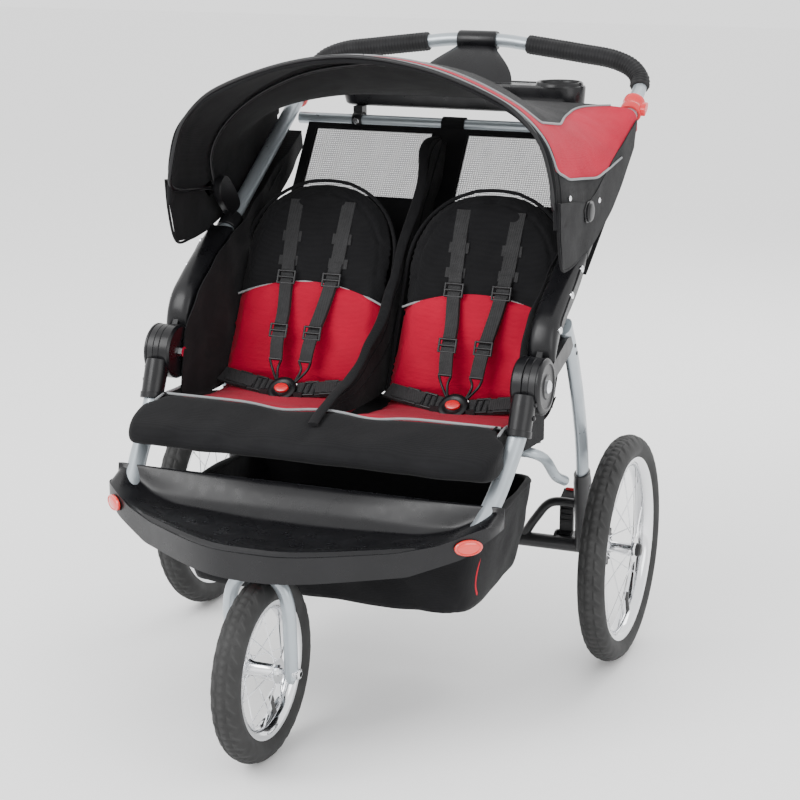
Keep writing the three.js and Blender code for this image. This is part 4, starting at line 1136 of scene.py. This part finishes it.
def make_bow(name, half, y, eye_x, body, node):
    _, pivot_y, pivot_z = CANOPY_PIVOT
    path = [(eye_x, pivot_y, pivot_z)]
    for x, z in half:
        z -= 9 if x < 200 else 5
        path.append((min(x - 9, eye_x), y + (pivot_y - y) * max(0, 1 - (z - pivot_z) / 28), z))
    path += [(-x, py, z) for x, py, z in reversed(path[:-1])]
    shape = Shape().tube(curve(path, 110), 3.5, 14)
    for s in (1, -1):
        shape.lathe([(s * (eye_x - 3.4), 8), (s * (eye_x + 3.4), 8)], CANOPY_PIVOT, X, 24)
    put(build(shape, name, [PLASTIC], bevel=0.5), body, "black_plastic", node)


make_canopy()
make_bow("front_bow_bent", FRONT_ARCH[1:], Y_FRONT, 341.4, "canopy_front", "canopy_front_bow")
make_bow("mid_bow_bent", MID_ARCH[1:], Y_MID, 334, "canopy_mid", "canopy_mid_bow")


# ------------------------------------------------------------------ cloth sides, back and divider
def lofted(edge_a, edge_b, columns, rows):
    """Rows of points between two edges."""
    a, b = curve(edge_a, columns), curve(edge_b, columns)
    return [a + (b - a) * t for t in np.linspace(0, 1, rows)]


def make_side(side, s):
    """The outer cloth under the canopy, the wall beside the seat and the wrap round the tube."""
    under = [(y, tube_z(y) - 26) for y in (128, 260, 404)]
    top = [(351, -45, 842), (351, 40, 832), (351, 112, 822), (351, 250, 870), (351, 404, 925)]
    low = [(347, -16, 730), (347, 40, 728), (348, 122, 738)]
    low += [(348, 258, under[1][1]), (347, 404, under[2][1])]
    rows = lofted(top, low, 49, 15)
    shape = Shape().sheet(rows, 1.6)
    hem = [(350, -45, 842), (349, -40, 790), (347.5, -16, 731), (347, 40, 727), (348, 122, 737)]
    shape.tube(curve(hem, 40), 2.4, 10)
    piece = build(shape, f"side_cloth_{side}", [BLACK_CLOTH], s, smooth=70)
    crumple(piece, 2.0, 60, 3.1 + s, (s, 0, 0))
    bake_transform(piece)

    low = [(297, -96, 470), (297, -20, 466), (297, 60, 468), (297, 105, 496)]
    low += [(297, 160, 600), (297, 250, 722), (297, 404, 845)]
    top = [(298, -104, 490), (298, -94, 560), (298, -50, 636), (299, 20, 684)]
    top += [(300, 90, 722), (300, 150, 742), (300, 220, 782), (300, 404, 873)]
    rows = lofted(top, low, 61, 19)
    wall = build(Shape().sheet(rows, 2.0), f"side_wall_{side}", [BLACK_CLOTH], s, smooth=70)
    crumple(wall, 5.0, 55, 7.7 + s, (-s, 0, 0))
    bodies = ("front_frame", "handle_frame")
    blend_piece(wall, "black_fabric", f"side_wing_{side}", bodies, (0, -0.02, 0.50), (0, 0.16, 0.74))

    rows = lofted(*([(x, y, z) for y, z in under] for x in (346, 299)), 21, 7)
    wrap = build(Shape().sheet(rows, 1.8), f"side_wrap_{side}", [BLACK_CLOTH], s, smooth=70)
    put(wrap, "handle_frame", "black_fabric")


def make_canopy_joint(side, s):
    shape = Shape()
    for y, z in ((4, 843), (173, 815)):
        shape.lathe([(351, 4.5), (353.5, 4.5), (355, 3), (355.3, 0.3)], (0, y, z), X, 20)
    shape.lathe([(350, 17), (356, 17), (359, 14), (360, 9), (360, 0.5)], CANOPY_PIVOT, X, 32, 1)
    plate = [(84, 812), (100, 822), (136, 818), (140, 806), (118, 790), (96, 790)]
    shape.prism(rounded(plate, 30), 350, 354, 1)
    piece = build(shape, f"canopy_joint_{side}", [CHROME, GLOSS], s, bevel=0.6)
    put(piece, "handle_frame", "black_plastic")


# The back cloth's line from its top to its bottom, and its two windows.
BACK_LINE = [(0, 415), (0.25, 345), (0.5, 268), (0.75, 200), (1, 142)]
BACK_HEIGHT = [(0, 891), (0.25, 790), (0.5, 690), (0.75, 570), (1, 456)]
WINDOW_X = (34, 268)
WINDOW_V = (0.02, 0.30)
BACK_CLOTH_HALF = 288


def back_point(x, v):
    y = np.interp(v, *np.array(BACK_LINE, float).T)
    z = np.interp(v, *np.array(BACK_HEIGHT, float).T)
    return (x, y, z)


def make_back():
    inner, outer = WINDOW_X
    high, low = WINDOW_V
    half = [*np.linspace(0, inner, 4), *np.linspace(inner, outer, 19), *np.linspace(outer, BACK_CLOTH_HALF, 3)]
    xs = sorted({round(sign * x, 9) + 0.0 for x in half for sign in (1, -1)})
    vs = sorted({0, *np.linspace(high, low, 15), *np.linspace(low, 1, 25)})
    rows = [[back_point(x, v) for x in xs] for v in vs]
    shape = Shape().sheet(rows, 1.4)
    top, bottom = back_point(0, high)[2], back_point(0, low)[2]
    for k, face in enumerate(shape.faces):
        corners = np.array([shape.points[c] for c in face])
        if inner < abs(corners[:, 0].mean()) < outer and bottom < corners[:, 2].mean() < top:
            shape.slots[k] = 1
    for s in (1, -1):
        frame_line = ((inner, high), (outer, high), (outer, low), (inner, low), (inner, high))
        ring = [np.array(back_point(s * x, v)) - 2 * Y for x, v in frame_line]
        for a, b in zip(ring, ring[1:]):
            shape.tube([a, b], 2.2, 8)
    piece = build(shape, "back_cloth", [BLACK_CLOTH, NET], smooth=60)
    bodies = ("front_frame", "handle_frame")
    blend_piece(piece, "mesh_fabric", "back_panel", bodies, (0, 0.16, 0.48), (0, 0.36, 0.80))


def make_divider():
    front = [(0, 340, 884), (0, 300, 880), (0, 240, 800), (0, 155, 700)]
    front += [(0, 60, 600), (0, -50, 540), (0, -150, 514), (0, -225, 492)]
    rear = [(0, 406, 866), (0, 340, 790), (0, 268, 690), (0, 190, 570)]
    rear += [(0, 110, 490), (0, 30, 470), (0, -90, 478), (0, -218, 490)]
    rows = lofted(front, rear, 60, 15)
    shape = Shape().sheet(rows, 1.6)
    shape.tube(curve(front, 60), [5.0] * 60, 14, hint=X, squash=(1.8, 0.6))
    for shift in (0.25, 0.5):
        seam = [a + (b - a) * shift for a, b in zip(rows[0], rows[-1])]
        shape.tube(seam, 1.8, 8)
    piece = build(shape, "divider_cloth", [BLACK_CLOTH], smooth=70)
    crumple(piece, 9.0, 70, 1.3, (1, 0, 0))
    bodies = ("front_frame", "handle_frame")
    blend_piece(piece, "black_fabric", "seat_divider", bodies, (0, -0.02, 0.55), (0, 0.30, 0.86))


for side, s in SIDES:
    make_side(side, s)
    make_canopy_joint(side, s)
make_back()
make_divider()

# ------------------------------------------------------------------ seats
SEAT_X = 158
TILT = math.radians(66)
BACK_AXIS = np.array((0, math.cos(TILT), math.sin(TILT)))
BACK_FRONT = np.array((0, -math.sin(TILT), math.cos(TILT)))
PIVOT = np.array((0, 70, 486))
BACK_BOTTOM, BACK_TOP, STRAIGHT_PART = -20, 360, 205  # distances up a backrest
BACK_HALF_WIDTH, BACK_CROWN = 148, 12.0
CUSHION_HALF_WIDTH, CUSHION_CROWN = 141, 9.0
BACK_CAP, CUSHION_CAP = 6.0, 4.0  # how far the cloth simulation may move a point
PAD_VOXEL, PAD_PRESSURE, PAD_STEPS = 5.0, 4.0, 20


def on_back(x, s, lift):
    """A point at a distance up the backrests and in front of their middle surface."""
    return PIVOT + BACK_AXIS * s + BACK_FRONT * lift + np.array((x, 0, 0))


def back_width(s):
    """Half the width of a backrest at a distance up it."""
    over = max(0.0, (s - STRAIGHT_PART) / (BACK_TOP - STRAIGHT_PART))
    return BACK_HALF_WIDTH * max(0.0, 1 - over**2.3) ** 0.5


def puff(piece, cap):
    """Fills a pad with air by a cloth simulation, and keeps each point within a distance of where it was."""
    remesh = piece.modifiers.new("remesh", "REMESH")
    remesh.mode = "VOXEL"
    remesh.voxel_size = PAD_VOXEL * MM
    settle(piece)
    rest = points_of(piece)
    settings = piece.modifiers.new("cloth", "CLOTH").settings
    settings.use_pressure = True
    settings.uniform_pressure_force = PAD_PRESSURE
    settings.effector_weights.gravity = 0.0
    for step in range(1, PAD_STEPS + 1):
        bpy.context.scene.frame_set(step)
    view = bpy.context.evaluated_depsgraph_get()
    moved = np.array([v.co for v in piece.evaluated_get(view).data.vertices], float) / MM
    piece.modifiers.clear()
    bpy.context.scene.frame_set(1)
    shift = moved - rest
    size = np.linalg.norm(shift, axis=1, keepdims=True)
    place_points(piece, rest + shift * np.minimum(1, cap / np.maximum(size, 1e-6)))
    piece.data.polygons.foreach_set("use_smooth", [True] * len(piece.data.polygons))
    piece.data.update()


def place_points(piece, points):
    piece.data.vertices.foreach_set("co", (points * MM).astype(np.float32).ravel())


def finish_pad(source, cap):
    """Puffs a pad and rounds it off, and returns its points."""
    puff(source, cap)
    finer = source.modifiers.new("finer", "SUBSURF")
    finer.levels = finer.render_levels = 1
    settle(source)
    return points_of(source)


def copy_pad(source, name, points, sign):
    """A copy of a pad for the right side, or with sign -1 for the left."""
    piece = bpy.data.objects.new(name, source.data.copy())
    bpy.context.scene.collection.objects.link(piece)
    place_points(piece, points * (sign, 1, 1))
    if sign < 0:
        piece.data.flip_normals()
    return piece


def seam_at(x):
    """Distance up the backrest of the seam between red and black cloth."""
    return 170 - 32 * (x / 140) ** 2


def back_coordinates(points):
    local = points - PIVOT
    return points[:, 0], local @ BACK_AXIS, local @ BACK_FRONT


def sew(points, x, s, lift, amount):
    """Lowers the face of a backrest along its seams."""
    depth = amount * np.exp(-(((s - seam_at(x)) / 4.0) ** 2))
    arch = np.sqrt((x / 120) ** 2 + (np.maximum(0, s - 215) / 118) ** 2)
    depth = depth + 0.8 * amount * np.exp(-(((arch - 1) / 0.035) ** 2)) * (s > 190)
    return points - np.outer(depth * (lift > 0), BACK_FRONT)


def make_backrests():
    def point(u, v, side):
        s = BACK_BOTTOM + (BACK_TOP - BACK_BOTTOM) * (v + 1) / 2
        half = back_width(s) * (1 - 0.02 * math.cos(math.pi * v))
        crown = BACK_CROWN * ((1 - abs(u) ** 5) * (1 - abs(v) ** 9)) ** 0.5
        return on_back(SEAT_X + u * half, s, side * crown)

    source = build(Shape().pillow(point, 30, 44), "pad_source", [SEAT_CLOTH], weld=0.3)
    base = finish_pad(source, BACK_CAP)
    x, s, lift = back_coordinates(base)
    shaped = sew(base, x - SEAT_X, s, lift, 2.6)
    arc = [(dx, seam_at(dx)) for dx in np.linspace(-138, 138, 40)]
    seam = [on_back(SEAT_X + dx, t, 11.2 + 2.6 * (1 - (dx / 145) ** 2)) for dx, t in arc]
    heights = np.linspace(-14, 345, 44)
    around = [on_back(SEAT_X - back_width(t) * 0.985, t, 0) for t in heights]
    around += [on_back(SEAT_X + k * back_width(352), 359 - 6 * k * k, 0) for k in np.linspace(-0.8, 0.8, 9)]
    around += [on_back(SEAT_X + back_width(t) * 0.985, t, 0) for t in heights[::-1]]
    trim = Shape().tube(seam, 2.0, 10)
    trim.tube(around, 3.2, 10, 1)
    for side, sign in SIDES:
        body = f"backrest_body_{side}"
        piece = copy_pad(source, f"backrest_pad_{side}", shaped, sign)
        store(piece, seam_at(x - SEAT_X) - s)
        crumple(piece, 1.6, 45, 2.0 + sign)
        put(piece, body, "red_fabric", f"backrest_{side}")
        edge = build(trim, f"backrest_piping_{side}", [PIPING, BLACK_CLOTH], sign)
        put(edge, body, "black_fabric")
    bpy.data.objects.remove(source)


def seat_top(y):
    """Height of the seat's surface from the apron back."""
    return float(np.interp(y, [-205, -150, -90, 0, 40, 62], [503, 492, 477, 466, 472, 484]))


def make_cushions():
    def point(u, v, side):
        y = -60 + 120 * v
        crown = CUSHION_CROWN * ((1 - abs(u) ** 6) * (1 - abs(v) ** 6)) ** 0.5
        return (SEAT_X + u * CUSHION_HALF_WIDTH, y, seat_top(y) - CUSHION_CROWN + side * crown)

    source = build(Shape().pillow(point, 26, 26), "cushion_source", [RED_CLOTH], weld=0.3)
    shaped = finish_pad(source, CUSHION_CAP)
    pan_top = 420.8 + (66 - shaped[:, 1]) * 50 / 246
    shaped[:, 2] = np.maximum(shaped[:, 2], pan_top)
    for side, sign in SIDES:
        piece = copy_pad(source, f"seat_pad_{side}", shaped, sign)
        crumple(piece, 1.4, 50, 5.0 + sign)
        put(piece, "front_frame", "red_fabric")
    bpy.data.objects.remove(source)


APRON_MIDDLE = np.array((-220, 468))
APRON_EDGE = 499


def apron_edge(x):
    """Height of the grey piping on the apron: one dip for each seat."""
    return APRON_EDGE - 7 * math.exp(-(((abs(x) - 80) / 45) ** 2))


def apron_half(y):
    """Half the apron's width: it clears the frame tubes behind its front part."""
    return float(np.interp(y, [-275, -235, -205, -190, -160], [316, 322, 320, 303, 300]))


def make_apron():
    section = [
        (-160, 484), (-163, 497), (-172, 500), (-200, 494), (-236, 482), (-262, 470),
        (-275, 455), (-274, 443), (-258, 436), (-225, 438), (-190, 446), (-166, 468),
    ]
    rows = []
    for along in np.sin(np.linspace(-0.5, 0.5, 85) * math.pi * 0.94) / math.sin(0.47 * math.pi):
        shrink = (1 - abs(along) ** 60) ** 0.5
        ring = []
        for p in curve(section + section[:1], 41)[:-1]:
            y, z = APRON_MIDDLE + (p - APRON_MIDDLE) * (0.35 + 0.65 * shrink)
            x = along * apron_half(y)
            lift = (apron_edge(x) - APRON_EDGE) * np.clip((y + 240) / 60, 0, 1)
            pull = 4.0 * math.exp(-((x / 9) ** 2)) if z > 470 else 0
            ring.append((x, y, z + lift - pull))
        rows.append(ring)
    shape = Shape().grid(rows, around=True, ends=True)
    piece = build(shape, "apron_pad", [BLACK_CLOTH], smooth=70, subdivide=1)
    settle(piece)
    crumple(piece, 2.2, 60, 9.1)
    put(piece, "front_frame", "black_fabric", "seat_cushion")
    trim = Shape().tube([(x, -167, apron_edge(x) + 2.0) for x in np.linspace(-299, 299, 90)], 2.3, 10)
    put(build(trim, "apron_trim", [PIPING], smooth=60), "front_frame", "black_fabric")


def make_deck():
    """The cloth under the pads, from the apron back over the pan and up to the back cloth."""
    line = curve([(-176, 480), (-120, 463), (0, 440), (66, 428), (100, 432), (138, 452)], 33)
    rows = []
    for y, z in line:
        row = []
        for x in np.linspace(-294, 294, 61):
            row.append((x, y, z + 26 * max(0.0, (abs(x) - 262) / 32) ** 1.5))
        rows.append(row)
    piece = build(Shape().sheet(rows, 1.6), "seat_deck", [BLACK_CLOTH], smooth=70)
    put(piece, "front_frame", "black_fabric")


def make_skirt(side, s):
    """The side of the seat between the apron and the hinge."""
    top = [(303, -190, 494), (302, -160, 498), (303, -120, 496), (306, -60, 494), (308, 26, 492)]
    low = [(303, -195, 444), (302, -160, 446), (303, -120, 444), (308, -60, 439), (308, 26, 433)]
    rows = lofted(top, low, 41, 9)
    shape = Shape().sheet(rows, 2.0)
    shape.tube(rows[0], 2.3, 10, 1)
    piece = build(shape, f"seat_skirt_{side}", [BLACK_CLOTH, PIPING], s, smooth=70)
    put(piece, "front_frame", "black_fabric")


make_backrests()
make_cushions()
make_apron()
make_deck()
for side, s in SIDES:
    make_skirt(side, s)


# ------------------------------------------------------------------ harness and buckles
def strap(shape, path, width, thickness, out, slot=0):
    """Flat webbing along a path, with its face towards out."""
    path = np.asarray(path, float)
    tangents = np.gradient(path, axis=0)
    ring = [(-0.5, 0), (-0.46, 1), (0.46, 1), (0.5, 0)]
    rows = []
    for p, tangent in zip(path, tangents):
        side = unit(np.cross(tangent, out))
        rows.append([p + side * width * u + np.asarray(out) * thickness * v for u, v in ring])
    shape.grid(rows, around=True, ends=True, slot=slot)


def slide(shape, centre, across, along, out, width, slot=1):
    """A ladder slide: a frame of four bars with a middle bar."""
    centre, across, along, out = (np.asarray(v, float) for v in (centre, across, along, out))
    for k in (-11, 0, 11):
        a = centre + along * k - across * width / 2
        shape.tube([a + out * 1.5, a + across * width + out * 1.5], 2.0, 10, slot)
    for k in (-1, 1):
        a = centre + across * k * width / 2
        shape.tube([a - along * 12 + out * 1.5, a + along * 12 + out * 1.5], 2.2, 10, slot)


BUCKLE_AXIS = unit((0, -0.62, 0.785))
BUCKLE_AT = np.array((SEAT_X, 0, 480))
STRAP_LIFT = 16.5  # from the backrests' middle surface to the webbing


def make_harness(side, sign):
    def on_chest(x, t, lift):
        return on_back(SEAT_X + x, t, STRAP_LIFT + lift)

    shape = Shape()
    for s in (-1, 1):
        top = [on_chest(s * x, t, lift) for x, t, lift in ((50, 318, -3), (49, 270, 1), (46, 196, 1))]
        strap(shape, curve(top, 14), 27, 3.0, BACK_FRONT)
        for t, height in ((240, 18.6), (196, 17.36)):
            low = [on_chest(s * 48 + k, t, 3) for k in (-18, 18)]
            shape.sheet([low, [p + BACK_AXIS * height for p in low]], 3)
        long = [on_chest(s * x, t, lift) for x, t, lift in ((46, 205, 4), (41, 150, 7), (35, 105, 14))]
        path = curve(long + [(SEAT_X + s * 31, 50, 556), (SEAT_X + s * 28, 36, 524)], 30)
        strap(shape, path, 25, 2.4, BACK_FRONT)
        strap(shape, path[6:20] + BACK_FRONT * 3.4, 24, 2.2, BACK_FRONT)
        for k, width in ((5, 32), (21, 30)):
            slide(shape, path[k] + BACK_FRONT * 3, X, BACK_AXIS, BACK_FRONT, width)
        hook = path[-1] + BACK_FRONT * 1.5
        target = BUCKLE_AT + (s * 15, 12, 8)
        shape.tube([hook - 12 * X, hook + 12 * X], 2.6, 10, 1)
        for k in (-1, 1):
            shape.tube(curve([hook + (k * 11, 0, -1), hook + (k * 6, -3, -14), target], 12), 2.4, 10, 1)
        belt = curve([(SEAT_X + s * 132, 34, 488), (SEAT_X + s * 84, 20, 484), (SEAT_X + s * 24, 8, 478)], 20)
        up = unit((0, -0.55, 0.83))
        strap(shape, belt, 34, 4.0, up)
        strap(shape, belt[3:14] + up * 4, 26, 2.6, up)
        for k in (9, 15):
            slide(shape, belt[k] + up * 3, (0, 0.83, 0.55), unit(belt[k + 1] - belt[k]), up, 30)
        shape.box((SEAT_X + s * 30 - 10, -8, 471), (SEAT_X + s * 30 + 10, 22, 479), 1)
    crotch = curve([(SEAT_X, -64, 468), (SEAT_X, -42, 468), (SEAT_X, -16, 470)], 10)
    strap(shape, crotch, 26, 2.4, unit((0, -0.4, 0.9)))
    piece = build(shape, f"harness_webbing_{side}", [WEBBING, PLASTIC], sign, smooth=40)
    put(piece, "front_frame", "black_fabric", f"harness_{side}")


def make_buckle(side, sign):
    shape = Shape()
    profile = [(-6.5, 23), (-5, 26), (1, 26.5), (4, 25), (5.5, 21), (5.2, 17), (3.6, 14.5), (3.6, 12.2)]
    shape.lathe(profile, BUCKLE_AT, BUCKLE_AXIS, 56)
    piece = build(shape, f"buckle_round_{side}", [GLOSS], sign)
    put(piece, "front_frame", "black_plastic", f"buckle_{side}")
    profile = [(0.97, 2.5), (1.0, 6.0), (0.93, 7.6), (0.75, 8.4), (0.3, 8.6), (0.02, 8.6)]
    button = Shape().dome(BUCKLE_AT, X * 13.5, np.cross(BUCKLE_AXIS, X) * 9.5, BUCKLE_AXIS, profile)
    piece = build(button, f"buckle_button_oval_{side}", [RED_PLASTIC], sign)
    put(piece, f"button_body_{side}", "red_plastic", f"buckle_button_{side}")


for side, s in SIDES:
    make_harness(side, s)
    make_buckle(side, s)

# ------------------------------------------------------------------ basket
RIM = [(0, -214), (180, -214), (245, -206), (266, -180), (266, 60), (260, 96), (230, 113), (0, 114)]
BASE = [(0, -196), (160, -196), (225, -190), (243, -170), (243, 50), (238, 84), (212, 99), (0, 100)]


BASKET_TOP, BASKET_FLOOR, BASKET_MIDDLE = 338, 190, -48
WALL_ROWS, CORNER = 22, 18  # rows down the wall, and the point of each row at the front corner's seam


def make_basket():
    def loop(half):
        return curve(half + [(-x, y) for x, y in reversed(half[1:-1])] + half[:1], 121)[:-1]

    rows = []
    for v in np.linspace(0, 1, WALL_ROWS):
        ring = []
        for k, (a, b) in enumerate(zip(loop(RIM), loop(BASE))):
            x, y = (a + (b - a) * v) * (1 + 0.02 * math.sin(math.pi * v))
            dip = (12 if a[1] < -190 else 3.6) * math.exp(-((a[0] / 150) ** 2))
            fold = (10 if a[1] < -150 else 4) * math.sin(k * 0.85) * v * (1 - v)
            ring.append((x, y + fold, (BASKET_TOP - dip) * (1 - v) + BASKET_FLOOR * v))
        rows.append(ring)
    wall = rows[:]
    for t in (0.97, 0.9, 0.75, 0.5, 0.25, 0.02):
        z = BASKET_FLOOR - 7 * (1 - t**3)
        rows.append([(x * t, BASKET_MIDDLE + (y - BASKET_MIDDLE) * t, z) for x, y, _ in wall[-1]])
    closed = [row + row[:1] for row in rows]
    shape = Shape().sheet(closed, 1.8)
    shape.tube([np.array(p) for p in closed[0]], 3.4, 10)
    seam = [(262, -150, 336), (263, -158, 300), (259, -170, 262), (254, -165, 235), (250, -150, 212)]
    for sign in (1, -1):
        shape.tube(curve(seam, 40) * (sign, 1, 1) + (sign * 3.5, 0, 0), 2.2, 10, 1)
        shape.tube(np.array([row[CORNER] for row in wall]) * (sign, 1, 1), 2.0, 8)
    piece = build(shape, "basket_cloth", [BLACK_CLOTH, RED_PIPING], smooth=70, weld=0.05)
    crumple(piece, 5.0, 75, 4.4)
    bodies = ("front_frame", "rear_frame")
    blend_piece(piece, "black_fabric", "basket", bodies, (0, -0.12, 0.30), (0, 0.11, 0.28))


make_basket()

# ------------------------------------------------------------------ CAD nodes that stay in sight
for node, material in (("seat_cross_tube", SILVER), ("seat_pan", PLASTIC)):
    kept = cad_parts[node]
    kept.data.materials.clear()
    kept.data.materials.append(material)
